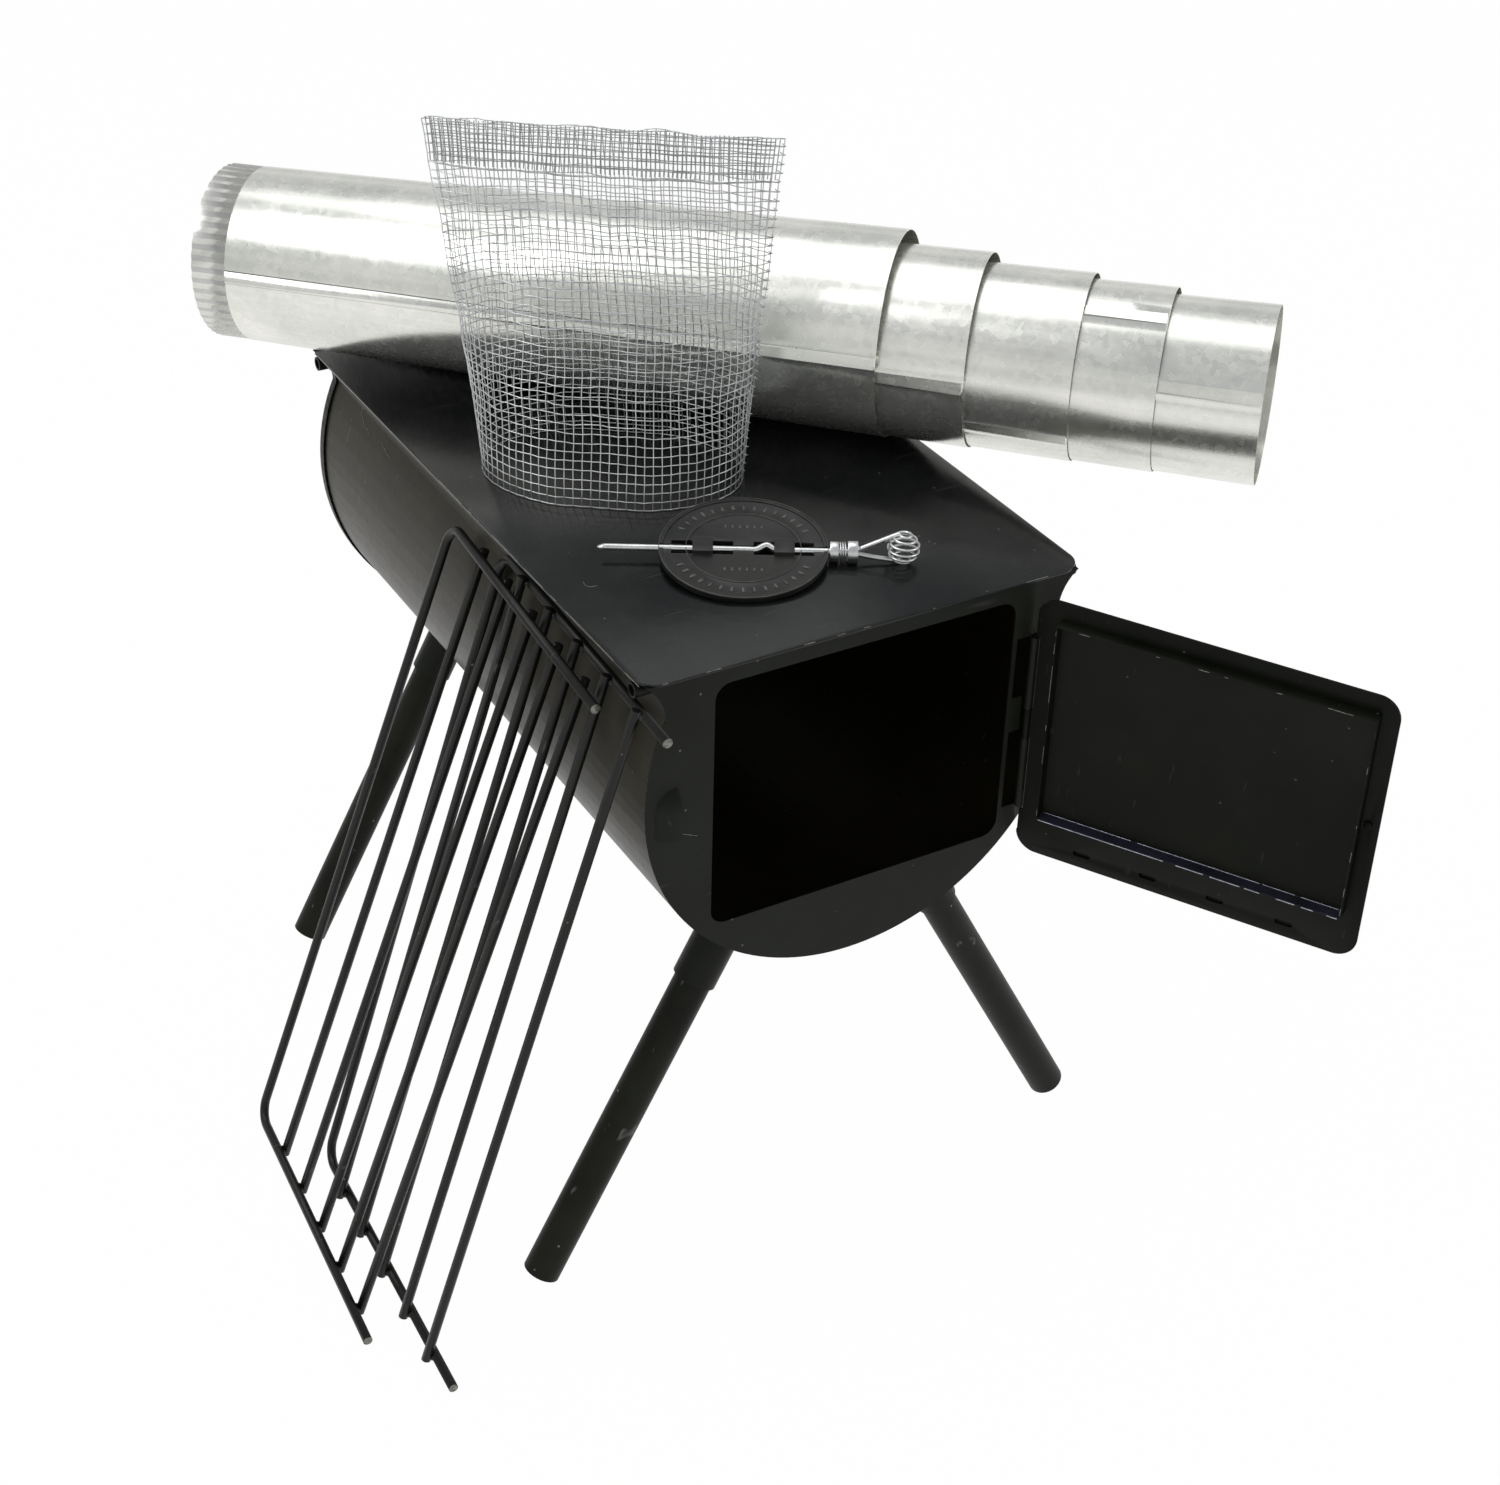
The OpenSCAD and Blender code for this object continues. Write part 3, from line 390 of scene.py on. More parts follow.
def wear_and_highlight_runs(start, end, keep, seed):
    """Cuts a straight edge into the uneven lengths where its paint is rubbed off, and along the tray's bottom wall
    into lengths of painted highlight: keep says how much is.
    """
    runs, run = [], []
    step, fewest = 0.0012, 12
    count = max(fewest, int((end - start).length / step))
    for k in range(count + 1):
        t = k / count
        if noise.noise(Vector((t * count * 0.11, seed, 0.5))) + keep > 0.5:
            run.append(tuple(start.lerp(end, t)))
        elif len(run) > 1:
            runs.append(run)
            run = []
        else:
            run = []
    return runs + ([run] if len(run) > 1 else [])


# Scuffs where the blacking is rubbed through to bright metal, drawn on with a fine line.
# Four are short marks on the barrel's side, the front plate and the flat top, and two are its worn edges.
rubbed = blued_steel("rubbed_bright_line", dark=(0.10, 0.10, 0.085), light=(0.30, 0.30, 0.26),
    rough=0.45, metal=0.4, grain=300.0)
scuff_r, scuff_up = 0.00022, 0.00005
plate_face_y = -0.4402
top_left_x, top_front_y, top_edge_z = -0.1709, -0.4419, -0.0001
scuffs = [
    [on_barrel(y, t, scuff_up) for y, t in ((0.0579, 116.8), (0.0571, 113.4), (0.0482, 111.3), (0.0346, 110.5))],
    [on_barrel(y, t, scuff_up) for y, t in ((0.0132, 111.5), (0.0028, 110.2), (-0.0076, 109.9))],
    [Vector((x, plate_face_y, z)) for x, z in ((-0.1458, -0.1200), (-0.1387, -0.1232), (-0.1288, -0.1278))],
    [Vector((x, y, scuff_up)) for x, y in (
        (-0.1438, -0.3048), (-0.1444, -0.3105), (-0.1426, -0.3129), (-0.1379, -0.3138))],
]
scuffs = [[tuple(p) for p in run] for run in scuffs]
scuffs += wear_and_highlight_runs(Vector((top_left_x, -0.437, top_edge_z)), Vector((top_left_x, -0.13, top_edge_z)), 0.72, 21.0)
scuffs += wear_and_highlight_runs(Vector((-0.160, top_front_y, top_edge_z)), Vector((0.160, top_front_y, top_edge_z)), 0.30, 25.0)
scuffs = wound_wire("rubbed_scuffs", scuffs, scuff_r, rubbed, 6)
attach(scuffs, "stove")


# ---- Door: a sheet with four air slots, its rolled middle knuckle, and a shallow welded tray inside.
# The tray's upward-facing bottom wall is a lighter, bluish, glossier steel as a painted sheen, with bright lines of
# painted highlight along its lip and floor corner, and the paint is rubbed off along the tray's upright and top
# edges.
# The slider, its knob, the latch handle and its bolt are on the outside, which the photograph doesn't show.
swing = math.radians(120.9)
hinge = Vector((0.134, -0.4422, 0))
wall, door_edge, tray_low_band = 0.0012, 0.0003, 0.006
low_highlight_r, side_edge_r = 0.00032, 0.00022
door_steel = blued_steel("door_black_steel", dark=(0.0040, 0.0050, 0.0030), light=(0.0078, 0.0090, 0.0056),
    rough=0.38, metal=0.0, grain=11.0, specks=0.12, scratch=0.05, shine=0.09)
eased("door_panel", "door", door_steel, door_edge)
tray = eased("door_liner", "door", door_steel, door_edge)
for node, body, slot in (
    ("slider_guides", "door", "door_steel"), ("draft_slider", "slider", "door_steel"),
    ("latch_handle", "latch", "door_steel"), ("latch_bolt", "door", "plain_steel"),
    ("hinge_pin", "stove", "plain_steel"),
):
    eased(node, body, door_steel)
turned_steel = blued_steel("turned_knob_steel", dark=(0.30, 0.30, 0.29), light=(0.48, 0.47, 0.45),
    rough=0.34, metal=0.95, grain=40.0)
eased("slider_knob", "slider", turned_steel)
# Painted sheen: the tray's upward-facing bottom faces get a lighter, bluish steel where light from above shines on
# them.
tray_floor_sheen = blued_steel("tray_floor_painted_sheen", dark=(0.010, 0.011, 0.018), light=(0.040, 0.041, 0.068),
    rough=0.30, metal=0.6, grain=14.0, specks=0.1, scratch=0.2, shine=0.5)
tray.data.materials.append(tray_floor_sheen)
outward = Vector((-math.cos(swing), -math.sin(swing), 0))
inward = Vector((-math.sin(swing), math.cos(swing), 0))
reach = [(v.co - hinge).dot(outward) for v in tray.data.vertices]
lift = [(v.co - hinge).dot(inward) for v in tray.data.vertices]
tray_low = min(v.co.z for v in tray.data.vertices)
tray_high = max(v.co.z for v in tray.data.vertices)
for face in tray.data.polygons:
    if face.normal.z > 0.7 and face.center.z < tray_low + tray_low_band:
        face.material_index = 1


def on_door(d, n, z):
    """A point from its distance along the door, its height off the hinge line inward, and its level."""
    return hinge + outward * d + inward * n + Vector((0, 0, z))


def wear_and_highlight_edge(d0, d1, n, z0, z1, keep, seed):
    """The lengths of an edge of the tray from its two ends: worn paint on its upright and top edges, painted
    highlight along its bottom wall.
    """
    return wear_and_highlight_runs(on_door(d0, n, z0), on_door(d1, n, z1), keep, seed)


near, far = min(reach), max(reach)
floor_n, lip = min(lift) + wall, max(lift)
half_wall = wall / 2
corner_gap, floor_gap_d, lip_gap, floor_rise = 0.004, 0.003, 0.002, 0.0001
bottom, top = tray_low + half_wall, tray_high - half_wall
floor_level = tray_low + wall + floor_rise
# Painted highlight: nearly unbroken bright, bluish lines along the bottom wall's lip and floor corner, where it
# catches the light.
tray_highlight_steel = blued_steel("tray_painted_highlight_edge", dark=(0.30, 0.31, 0.38), light=(0.62, 0.63, 0.70),
    rough=0.35, metal=0.6, grain=200.0)
edges = wear_and_highlight_edge(near + lip_gap, far - lip_gap, lip, bottom, bottom, 0.95, 3.0)
edges += wear_and_highlight_edge(near + floor_gap_d, far - floor_gap_d, floor_n, floor_level, floor_level, 0.85, 8.0)
tray_highlight_lines = wound_wire("tray_painted_highlight_bottom", edges, low_highlight_r, tray_highlight_steel, 6)
edges = wear_and_highlight_edge(far - half_wall, far - half_wall, lip, tray_low + corner_gap, tray_high - corner_gap, 0.42, 5.0)
edges += wear_and_highlight_edge(near + half_wall, near + half_wall, lip, tray_low + corner_gap, tray_high - corner_gap, 0.45, 12.0)
edges += wear_and_highlight_edge(near + corner_gap, far - corner_gap, lip, top, top, 0.25, 17.0)
tray_sides = wound_wire("tray_rubbed_sides", edges, side_edge_r, rubbed, 6)
for piece in (tray_highlight_lines, tray_sides):
    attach(piece, "door")


# ---- Side racks: two frames of bent rod with five straight rods welded across each, black satin.
# Every crossing has a small round blob of weld in each corner between the two rods.
# The tips of the two prongs are rubbed bright.
rail_gap, rod_count, rod_pitch, first_rod, prong_tip = 0.53, 5, 0.046, -0.23, -0.2645
blob_side, blob_up, blob_rough = 0.0029, 0.0033, 0.0005
blob_l, blob_w, blob_h = 0.0022, 0.0019, 0.0021
bead_detail = 2
rack_steel = blued_steel("rack_rod_steel", dark=(0.0050, 0.0058, 0.0042), light=(0.0110, 0.0118, 0.0090),
    rough=0.36, metal=0.0, grain=22.0, specks=0.3, scratch=0.2, shine=0.3)
for node, body in (
    ("rack_a_frame", "rack_outer"), ("rack_a_rods", "rack_outer"),
    ("rack_b_frame", "rack_inner"), ("rack_b_rods", "rack_inner"),
):
    eased(node, body, rack_steel)


def raised_beads(name, spots, mat):
    """Round beads of metal, each given by its middle, its turn and its half-sizes."""
    me = bpy.data.meshes.new(name)
    me.from_pydata([tuple(at) for at, _, _ in spots], [], [])
    turn = me.attributes.new("turn", "FLOAT_VECTOR", "POINT")
    half = me.attributes.new("half_size", "FLOAT_VECTOR", "POINT")
    for k, (_, angles, sizes) in enumerate(spots):
        turn.data[k].vector = angles
        half.data[k].vector = sizes
    piece = placed(name, me)
    t = bpy.data.node_groups.new(name + "_drawing", "GeometryNodeTree")
    sockets = t.interface
    sockets.new_socket("Geometry", in_out="INPUT", socket_type="NodeSocketGeometry")
    detail = sockets.new_socket("Detail", in_out="INPUT", socket_type="NodeSocketInt")
    sockets.new_socket("Geometry", in_out="OUTPUT", socket_type="NodeSocketGeometry")
    add = t.nodes.new
    start, end, ball = add("NodeGroupInput"), add("NodeGroupOutput"), add("GeometryNodeMeshIcoSphere")
    ball.inputs["Radius"].default_value = 1
    spread, real = add("GeometryNodeInstanceOnPoints"), add("GeometryNodeRealizeInstances")
    soft, paint = add("GeometryNodeSetShadeSmooth"), add("GeometryNodeSetMaterial")
    paint.inputs["Material"].default_value = mat
    for field, socket in (("turn", "Rotation"), ("half_size", "Scale")):
        read = add("GeometryNodeInputNamedAttribute")
        read.data_type = "FLOAT_VECTOR"
        read.inputs["Name"].default_value = field
        t.links.new(read.outputs[0], spread.inputs[socket])
    t.links.new(start.outputs["Detail"], ball.inputs["Subdivisions"])
    t.links.new(start.outputs["Geometry"], spread.inputs["Points"])
    t.links.new(ball.outputs["Mesh"], spread.inputs["Instance"])
    t.links.new(spread.outputs[0], real.inputs[0])
    t.links.new(real.outputs[0], soft.inputs["Geometry"])
    t.links.new(soft.outputs[0], paint.inputs["Geometry"])
    t.links.new(paint.outputs[0], end.inputs[0])
    work = piece.modifiers.new("drawing", "NODES")
    work.node_group = t
    work[detail.identifier] = bead_detail
    keep_made(piece, work)
    return piece


for rack, body, x, y, z, lean, yaw, side in (
    ("a", "rack_outer", -0.167552, -0.143, -0.029444, 20.1, 4.1, -1),
    ("b", "rack_inner", -0.156655, -0.207, -0.023104, 18.0, 2.6, 1),
):
    place = Matrix.Translation((x, y, z)) @ Matrix.Rotation(math.radians(-yaw), 4, "Z") @ Matrix.Rotation(
        math.radians(lean - 90), 4, "Y")
    spots = []
    for rail in (0, -rail_gap):
        for k in range(rod_count):
            for s in (-1, 1):
                swell = blob_rough * noise.noise(Vector((k * 3.1, rail * 9, s * 2.0)))
                at = place @ Vector((rail, first_rod + rod_pitch * k + s * blob_side, side * blob_up))
                spots.append((at, (0, 0, 0), (blob_l + swell, blob_w, blob_h + swell)))
    frame_piece = bpy.data.objects["rack_%s_frame_made" % rack]
    frame_piece.data.materials.append(rubbed)
    for face in frame_piece.data.polygons:
        if (place.inverted() @ face.center).y < prong_tip:
            face.material_index = 1
    blobs = raised_beads("rack_%s_welds" % rack, spots, bead_steel)
    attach(blobs, body)


# ---- Pipes: five nested sections of galvanised sheet, each with a crimped small end and a lock seam.
# The zinc has a fine spangle, faint rolling streaks along the sheet, and cloudy storage stains.
def zinc_sheet(name, pale, stained, rough):
    """Galvanised sheet between two tones, with spangle, stains and streaks that run along the pipes."""
    mat = bpy.data.materials.new(name)
    mat.use_nodes = True
    t = mat.node_tree
    add = lambda kind: t.nodes.new("ShaderNode" + kind)
    shade = t.nodes["Principled BSDF"]
    shade.inputs["Metallic"].default_value = 0.86
    place = add("TexCoord")
    lie = add("Mapping")
    lie.vector_type = "TEXTURE"
    lie.inputs["Rotation"].default_value = (0, 0, math.radians(-45.5))
    lie.inputs["Scale"].default_value = (0.16, 0.004, 0.004)
    streak = add("TexNoise")
    streak.inputs["Scale"].default_value = 1.0
    streak.inputs["Detail"].default_value = 3
    stain = add("TexNoise")
    stain.inputs["Scale"].default_value = 11
    stain.inputs["Detail"].default_value = 5
    spangle = add("TexVoronoi")
    spangle.inputs["Scale"].default_value = 210
    grey = add("RGBToBW")
    blend = add("ValToRGB")
    set_ramp(blend, ((0.38, pale), (0.72, stained)))
    tint = add("MixRGB")
    tint.blend_type = "MULTIPLY"
    tint.inputs[0].default_value = 0.10
    line = add("MixRGB")
    line.blend_type = "MULTIPLY"
    line.inputs[0].default_value = 0.14
    gloss = add("MapRange")
    gloss.inputs["To Min"].default_value = rough - 0.02
    gloss.inputs["To Max"].default_value = rough + 0.04
    dent = add("Bump")
    dent.inputs["Strength"].default_value = 0.10
    dent.inputs["Distance"].default_value = 0.0005
    t.links.new(place.outputs["Object"], lie.inputs["Vector"])
    t.links.new(lie.outputs[0], streak.inputs["Vector"])
    t.links.new(place.outputs["Object"], stain.inputs["Vector"])
    t.links.new(place.outputs["Object"], spangle.inputs["Vector"])
    t.links.new(spangle.outputs["Color"], grey.inputs[0])
    t.links.new(stain.outputs["Fac"], blend.inputs[0])
    t.links.new(blend.outputs[0], tint.inputs[1])
    t.links.new(grey.outputs[0], tint.inputs[2])
    t.links.new(tint.outputs[0], line.inputs[1])
    t.links.new(streak.outputs["Fac"], line.inputs[2])
    t.links.new(line.outputs[0], shade.inputs["Base Color"])
    t.links.new(grey.outputs[0], gloss.inputs["Value"])
    t.links.new(gloss.outputs[0], shade.inputs["Roughness"])
    t.links.new(streak.outputs["Fac"], dent.inputs["Height"])
    t.links.new(dent.outputs[0], shade.inputs["Normal"])
    return mat


zinc = zinc_sheet("galvanised_sheet", pale=(0.98, 0.98, 0.91), stained=(0.74, 0.76, 0.70), rough=0.25)
# Painted shadow: a dark grey for the fine lines in the angles beside each seam.
seam_shade = blued_steel("seam_shadow", dark=(0.05, 0.05, 0.05), light=(0.11, 0.11, 0.11),
    rough=0.5, metal=0.3, grain=40.0)
# Painted shade: a darker zinc for the grooves and a dimmer zinc for one side of each crimp flute.
groove_shade = zinc_sheet("galvanised_painted_groove_shade", pale=(0.34, 0.35, 0.34), stained=(0.24, 0.25, 0.24), rough=0.40)
flute_shade = zinc_sheet("galvanised_painted_flute_shade", pale=(0.70, 0.70, 0.67), stained=(0.60, 0.61, 0.59), rough=0.34)
pipe_keep_angle = 24
small_end_l, crimp_l = 0.02, 0.03
across_sheet, along_round, fluted = 0.6, 0.7, 0.08
seam_end, seam_shadow_line_r, seam_steps = 0.003, 0.00055, 40
pipe_line = Vector((0.7008, -0.7131, 0.0171)).normalized()
pipe_side = pipe_line.cross(Vector((0, 0, 1))).normalized()
for k, body in enumerate(("pipe_outer", "pipe_second", "pipe_third", "pipe_fourth", "pipe_inner")):
    pipe = eased("pipe_%d" % (k + 1), body, zinc, keep_angle=pipe_keep_angle)
    pipe.data.materials.append(groove_shade)
    pipe.data.materials.append(flute_shade)
    # The CAD seam is on the far side, and the photograph shows it on the near one. So the copy is turned
    # over about its own upright middle plane, found at its small end.
    small_end = min(v.co.dot(pipe_line) for v in pipe.data.vertices)
    crimped = [v.co.dot(pipe_side) for v in pipe.data.vertices if v.co.dot(pipe_line) < small_end + small_end_l]
    plane = (min(crimped) + max(crimped)) / 2
    for v in pipe.data.vertices:
        v.co -= 2 * (v.co.dot(pipe_side) - plane) * pipe_side
    pipe.data.flip_normals()
    # Faces across the sheet, at the seam and between the crimps, get a darker zinc as painted shade in the grooves.
    # On the crimps, the faces that lean one way get a dimmer zinc, painted shade that makes the flutes look lit from
    # one side.
    middle = sum((v.co for v in pipe.data.vertices), Vector()) / len(pipe.data.vertices)
    seam_sides = {-1: [], 1: []}
    for face in pipe.data.polygons:
        away = face.center - middle
        away -= pipe_line * away.dot(pipe_line)
        facing = face.normal.dot(away.normalized())
        lean = face.normal.dot(pipe_line.cross(away.normalized()))
        if abs(facing) < across_sheet and abs(lean) > along_round:
            face.material_index = 1
            seam_sides[1 if lean > 0 else -1] += [pipe.data.vertices[v].co for v in face.vertices]
        elif facing > 0 and lean > fluted and face.center.dot(pipe_line) < small_end + crimp_l:
            face.material_index = 2
    # A fine dark line of painted shadow lies in the angle at each side of the seam.
    for side, corners in seam_sides.items():
        corners.sort(key=lambda v: (v - middle).dot(pipe_line))
        if len(corners) < 4:
            continue
        ends = []
        for near_end in (corners[0], corners[-1]):
            close = [v for v in corners if (v - near_end).length < seam_end]
            ends.append(min(close, key=lambda v: (v - middle - pipe_line * (v - middle).dot(pipe_line)).length))
        run = [tuple(ends[0].lerp(ends[1], n / seam_steps)) for n in range(seam_steps + 1)]
        line = wound_wire("pipe_%d_seam_edge_%d" % (k + 1, 1 if side > 0 else 2), [run], seam_shadow_line_r, seam_shade, 6)
        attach(line, body)


# ---- Spark arrestor: an oval bag of quarter-inch galvanised wire cloth, round at its mouth and
# pressed flat and folded over along its top. Two sets of wires pass over and under each other.
cloth_wire = blued_steel("galvanised_cloth_wire", dark=(0.50, 0.51, 0.51), light=(0.74, 0.75, 0.75),
    rough=0.30, metal=0.9, grain=60.0)
wire_r, wire_sides = 0.00042, 5
mouth_a, mouth_b, mouth_turn = 0.0945, 0.0595, math.radians(-36)
mouth_full, mouth_power, mouth_ring = 1.06, 0.92, 0.03
bag_top, fold_loss, fold_half_t = 0.2486, 0.003, 0.0011
columns, rows, oval_steps = 80, 40, 2000
mouth_mid = Vector((-0.0529, -0.1713, 0.0008))
fold_mid = Vector((-0.048, -0.148, bag_top))
sway_size, curl_size, slip_size, top_wave, top_drop = 0.0035, 0.0008, 0.0016, 0.0042, 0.0014
cross_share = 0.75
along = Vector((math.cos(mouth_turn), math.sin(mouth_turn), 0))
across = Vector((-math.sin(mouth_turn), math.cos(mouth_turn), 0))
oval = []
for k in range(oval_steps + 1):
    a = math.pi + 2 * math.pi * k / oval_steps
    x, y = math.cos(a), math.sin(a)
    oval.append(Vector((mouth_a * x, mouth_b * math.copysign(min(abs(y) * mouth_full, 1) ** mouth_power, y), 0)))
walked = [0]
for k in range(oval_steps):
    walked.append(walked[-1] + (oval[k + 1] - oval[k]).length)
around = walked[-1]
fold_l = around / 2 - fold_loss


def on_oval(u):
    """A point on the mouth's rim, from the share of the way round it."""
    goal, low, high = (u % 1) * around, 0, oval_steps
    while high - low > 1:
        mid = (low + high) // 2
        low, high = (mid, high) if walked[mid] <= goal else (low, mid)
    f = (goal - walked[low]) / max(walked[high] - walked[low], 1e-9)
    return oval[low].lerp(oval[high], f)


def on_bag(i, j):
    """A point of the cloth, from its column round the mouth and its row up the bag."""
    u, v = (i % columns) / columns, j / rows
    at = on_oval(u)
    low = mouth_mid + along * at.x + across * at.y
    # The rim is laid flat along the fold: x runs from -1 to 1 on one side and back on the other.
    x = 4 * u - 1 if u <= 0.5 else 3 - 4 * u
    side = -1 if u < 0.5 else 1
    flat = min(1, 10 * min(u % 0.5, 0.5 - u % 0.5))
    high = fold_mid + along * (x * fold_l / 2) + across * (side * fold_half_t * flat)
    rise = max(0.0, (v - mouth_ring) / (1 - mouth_ring))
    spot = low.lerp(high, rise)
    spot.z = low.z + (high.z - low.z) * v
    # The cloth wavers freely above its mouth, and less near the fold.
    sway = noise.noise(Vector((u * 9, v * 4, 3.1)))
    curl = noise.noise(Vector((u * 30, v * 15, 7.7)))
    slip = noise.noise(Vector((u * 12, v * 9, 1.3)))
    keep = min(1, 4 * v) * (1 if v < 0.9 else 0.6)
    spot += across * keep * (sway_size * sway + curl_size * curl) + along * keep * slip_size * slip
    ragged = top_wave * noise.noise(Vector((u * 17, 4.2, 0))) - top_drop if j == rows else 0
    spot.z += keep * slip_size * curl + ragged
    return spot


def weave(i, j, way):
    """A point of a wire where it crosses another, over it or under it in turn."""
    spot = on_bag(i, j)
    out = across * (-1 if (i % columns) / columns < 0.5 else 1)
    return spot + out * (way * (1 if (i + j) % 2 else -1) * wire_r * cross_share)


cloth = [[tuple(weave(i, j, 1)) for j in range(rows + 1)] for i in range(columns)]
cloth += [[tuple(weave(i, j, -1)) for i in range(columns + 1)] for j in range(rows + 1)]
# The cloth's top is folded over to the front, and its side seam is closed with bent wire ends.
fold_rows, fold_pitch, half_round = 6, 0.9, columns // 2
flat_off, flat_spread, upright_off, upright_spread = 0.0016, 0.0003, 0.0013, 0.0004
hook_l, hook_vary, hook_depth, hook_rise = 0.0016, 0.0010, 0.0016, 0.0007
fold = []
for j in range(fold_rows):
    off = across * (flat_off + flat_spread * j)
    fold.append([tuple(on_bag(i, rows - 0.4 - j * fold_pitch) - off) for i in range(1, half_round)])
for i in range(1, columns):
    fold.append([tuple(on_bag(i / 2, rows - 0.1 - j * fold_pitch) - across * (upright_off + upright_spread * j))
        for j in range(fold_rows)])
for j in range(1, rows):
    at = on_bag(half_round, j)
    reach = hook_l + hook_vary * noise.noise(Vector((j * 1.7, 0.4, 0)))
    cloth.append([tuple(at + along * reach * math.sin(a) - across * hook_depth * (1 - math.cos(a))
        + Vector((0, 0, hook_rise * a))) for a in (0, 0.8, 1.6, 2.4, 3.2, 4.2)])
bag = wound_wire("arrestor_wire_cloth", cloth, wire_r, cloth_wire, wire_sides)
# The folded top's wires are a darker grey: painted shade, where the folded layers shade each other.
fold_shade_wire = blued_steel("folded_cloth_painted_shade", dark=(0.26, 0.27, 0.27), light=(0.50, 0.51, 0.51),
    rough=0.34, metal=0.9, grain=60.0)
fold = wound_wire("arrestor_folded_top", fold, wire_r, fold_shade_wire, wire_sides)
for piece in (bag, fold):
    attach(piece, "arrestor")
    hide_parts("spark_arrestor")


# ---- Damper: a cast iron disc with a ring of raised marks, held on a bright rod by straps.
# The rod ends in a flattened tip, and in a loop that grips a ball of wound wire. Its frame is the rod's axis.
rod_x, rod_y, rod_z, rod_heading = -0.0341, -0.3288, 0.00844, math.radians(-29.7)
rod_r, tip_x, tip_sides, cast_edge = 0.0024, -0.0945, 16, 0.0004
spring_x, spring_l, spring_r, spring_wire_r, spring_turns, spring_steps = 0.06515, 0.0049, 0.0069, 0.00055, 3, 96
ball_x, ball_r, ball_wire_r, ball_turns, ball_steps = 0.1086, 0.0106, 0.001, 6, 288
ball_first, ball_sweep, ball_lift, loop_r = 16, 148, 0.0022, 0.0018
ball_z = ball_r + ball_lift - rod_z
cast = blued_steel("cast_damper_iron", dark=(0.006, 0.007, 0.0055), light=(0.016, 0.017, 0.014),
    rough=0.34, metal=0.1, grain=30.0, shine=0.45)
eased("damper_plate", "damper", cast, cast_edge)
bright_zinc = blued_steel("bright_zinc_wire", dark=(0.62, 0.63, 0.63), light=(0.80, 0.80, 0.79),
    rough=0.24, metal=1.0, grain=80.0)
eased("damper_nuts", "damper", bright_zinc, cast_edge)
damper_turn = Matrix.Translation((rod_x, rod_y, rod_z)) @ Matrix.Rotation(rod_heading, 4, "Z")
spring, ball = [], []
for k in range(spring_steps + 1):
    t = k / spring_steps
    a = t * 2 * math.pi * spring_turns
    at = Vector((spring_x + t * spring_l, spring_r * math.cos(a), spring_r * math.sin(a)))
    spring.append(tuple(damper_turn @ at))
for k in range(ball_steps + 1):
    t = k / ball_steps
    p, a = math.radians(ball_first + t * ball_sweep), math.pi + t * 2 * math.pi * ball_turns
    ball.append(Vector((ball_x + ball_r * math.sin(p) * math.cos(a), ball_r * math.sin(p) * math.sin(a),
        ball_z + ball_r * math.cos(p))))
spring = wound_wire("damper_spring_wire", [spring], spring_wire_r, bright_zinc, 10)
ball_wire = wound_wire("damper_wire_ball", [[tuple(damper_turn @ v) for v in ball]], ball_wire_r, bright_zinc, 10)


def bent_rod(corners, steps=14):
    """A smooth run of points through a rod's corners."""
    run = []
    for k in range(len(corners) - 1):
        before, after = corners[max(k - 1, 0)], corners[min(k + 2, len(corners) - 1)]
        a, b = corners[k], corners[k + 1]
        for n in range(steps):
            t = n / steps
            run.append(0.5 * (2 * a + (b - before) * t + (2 * before - 5 * a + 4 * b - after) * t * t
                + (3 * a - before - 3 * b + after) * t ** 3))
    return [tuple(damper_turn @ Vector(v)) for v in run + [corners[-1]]]


# The rod is straight but for the kink between the plate's straps, which stops it from sliding through.
rod = bent_rod([Vector(v) for v in (
    (tip_x, 0, 0), (-0.05, 0, 0), (0, 0, 0), (0.008, 0, 0), (0.0135, 0.0024, 0.0016), (0.0165, 0.0028, 0.002),
    (0.021, 0.0008, 0.0006), (0.027, 0, 0), (0.05, 0, 0), (0.0776, 0, 0))])
rod = wound_wire("damper_rod_wire", [rod], rod_r, bright_zinc, tip_sides)
top, foot = ball[0], ball[-1]
loop_x, loop_bend_x, loop_z, loop_back = 0.0752, 0.088, 0.0008, -0.004
loops = [
    bent_rod([Vector((loop_x, 0, loop_z)), Vector((loop_bend_x, 0, loop_z + 0.42 * top.z)),
        top + Vector((loop_back, 0, -0.0012)), top]),
    bent_rod([Vector((loop_x, 0, -loop_z)), Vector((loop_bend_x, 0, -loop_z + 0.45 * foot.z)),
        foot + Vector((loop_back, 0, 0.0006)), foot]),
]
loops = wound_wire("damper_ball_loop", loops, loop_r, bright_zinc, 14)
work = bmesh.new()
# The tip narrows and flattens through four rings, each a place along the rod and two half-sizes.
rings = ((tip_x, rod_r, rod_r), (-0.0958, 0.0025, 0.0020), (-0.0975, 0.0022, 0.0013), (-0.0992, 0.0012, 0.0007))
angles = [2 * math.pi * n / tip_sides for n in range(tip_sides)]
made = [[work.verts.new(damper_turn @ Vector((x, w * math.cos(a), h * math.sin(a)))) for a in angles]
    for x, w, h in rings]
for a, b in zip(made, made[1:]):
    for n in range(tip_sides):
        after = (n + 1) % tip_sides
        work.faces.new((a[n], b[n], b[after], a[after]))
work.faces.new(made[0])
work.faces.new(list(reversed(made[-1])))
bmesh.ops.recalc_face_normals(work, faces=work.faces)
me = bpy.data.meshes.new("damper_rod_tip")
work.to_mesh(me)
work.free()
me.materials.append(bright_zinc)
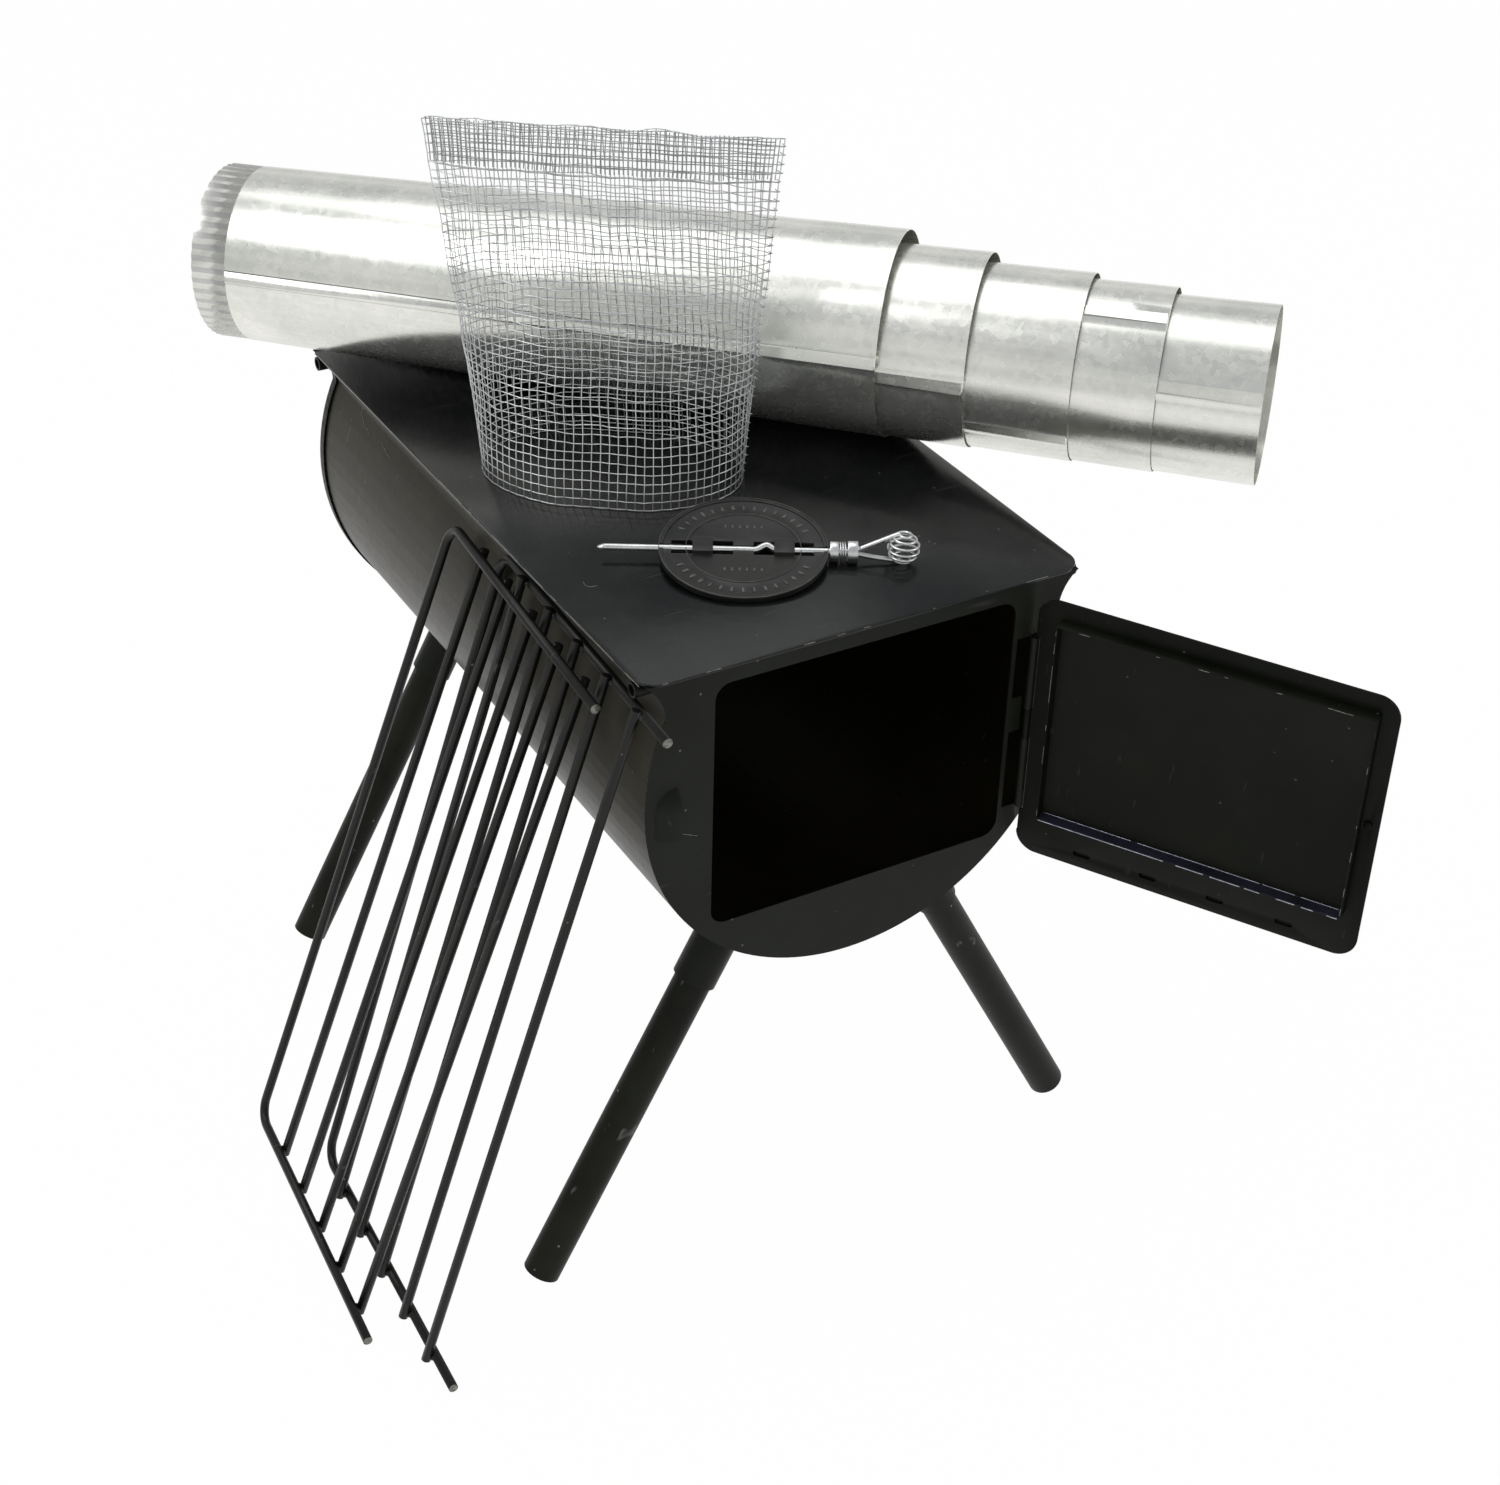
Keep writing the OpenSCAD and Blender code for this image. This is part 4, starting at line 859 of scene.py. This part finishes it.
for face in me.polygons:
    face.use_smooth = True
tip = placed("damper_rod_tip", me)
for piece, node in (
    (spring, "damper_spring"), (ball_wire, "damper_ball"),
    (rod, "damper_rod"), (tip, "damper_rod"), (loops, "damper_rod"),
):
    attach(piece, "damper")
    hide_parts(node)
# Plain raised bars stand round the plate between its two rings, and a short row in each half.
plate_tilt = math.radians(6.5)
mark_ring_r, mark_up, ring_count, ring_first, ring_sweep = 0.0472, 0.0015, 15, 26, 128
mark_l, mark_w, mark_vary, mark_h = 0.0031, 0.0011, 0.0009, 0.0010
row_count, row_first, row_pitch, row_off, row_half = 6, -0.0125, 0.005, 0.0245, (0.0022, 0.0010, 0.0009)
plate_turn = damper_turn @ Matrix.Rotation(plate_tilt, 4, "X")
marks = []
for half in (1, -1):
    for k in range(ring_count):
        a = math.radians(half * (ring_first + k * ring_sweep / (ring_count - 1)))
        wide = mark_w + mark_vary * abs(noise.noise(Vector((k * 2.3, half, 0))))
        at = Vector((mark_ring_r * math.cos(a), mark_ring_r * math.sin(a), mark_up))
        marks.append((at, a, (mark_l, wide, mark_h)))
    for k in range(row_count):
        marks.append((Vector((row_first + row_pitch * k, half * row_off, mark_up)), math.pi / 2, row_half))
spots = []
for at, a, sizes in marks:
    full = plate_turn @ Matrix.Translation(at) @ Matrix.Rotation(a, 4, "Z")
    spots.append((full.translation, tuple(full.to_euler()), sizes))
# The bars' tops are a lighter, worn iron, and the same lighter iron drawn round the rims is partly painted highlight.
worn_cast_and_highlight = blued_steel("cast_iron_worn_tops_and_painted_highlight", dark=(0.050, 0.054, 0.046), light=(0.110, 0.115, 0.100),
    rough=0.32, metal=0.3, grain=60.0)
bars = raised_beads("damper_raised_bars", spots, worn_cast_and_highlight)
# The tops of the plate's rim and of its inner ring are worn to the bare iron, drawn as thin light lines that are also
# a painted highlight along the rims.
worn_highlight_r = 0.00028
turns = [n * math.pi / 60 for n in range(121)]
rings = [[tuple(plate_turn @ Vector((r * math.cos(a), r * math.sin(a), z))) for a in turns]
    for r, z in ((0.0575, 0.0026), (0.0392, 0.0020))]
rings = wound_wire("damper_painted_highlight_rings", rings, worn_highlight_r, worn_cast_and_highlight, 6)
for piece in (rings, bars):
    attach(piece, "damper")
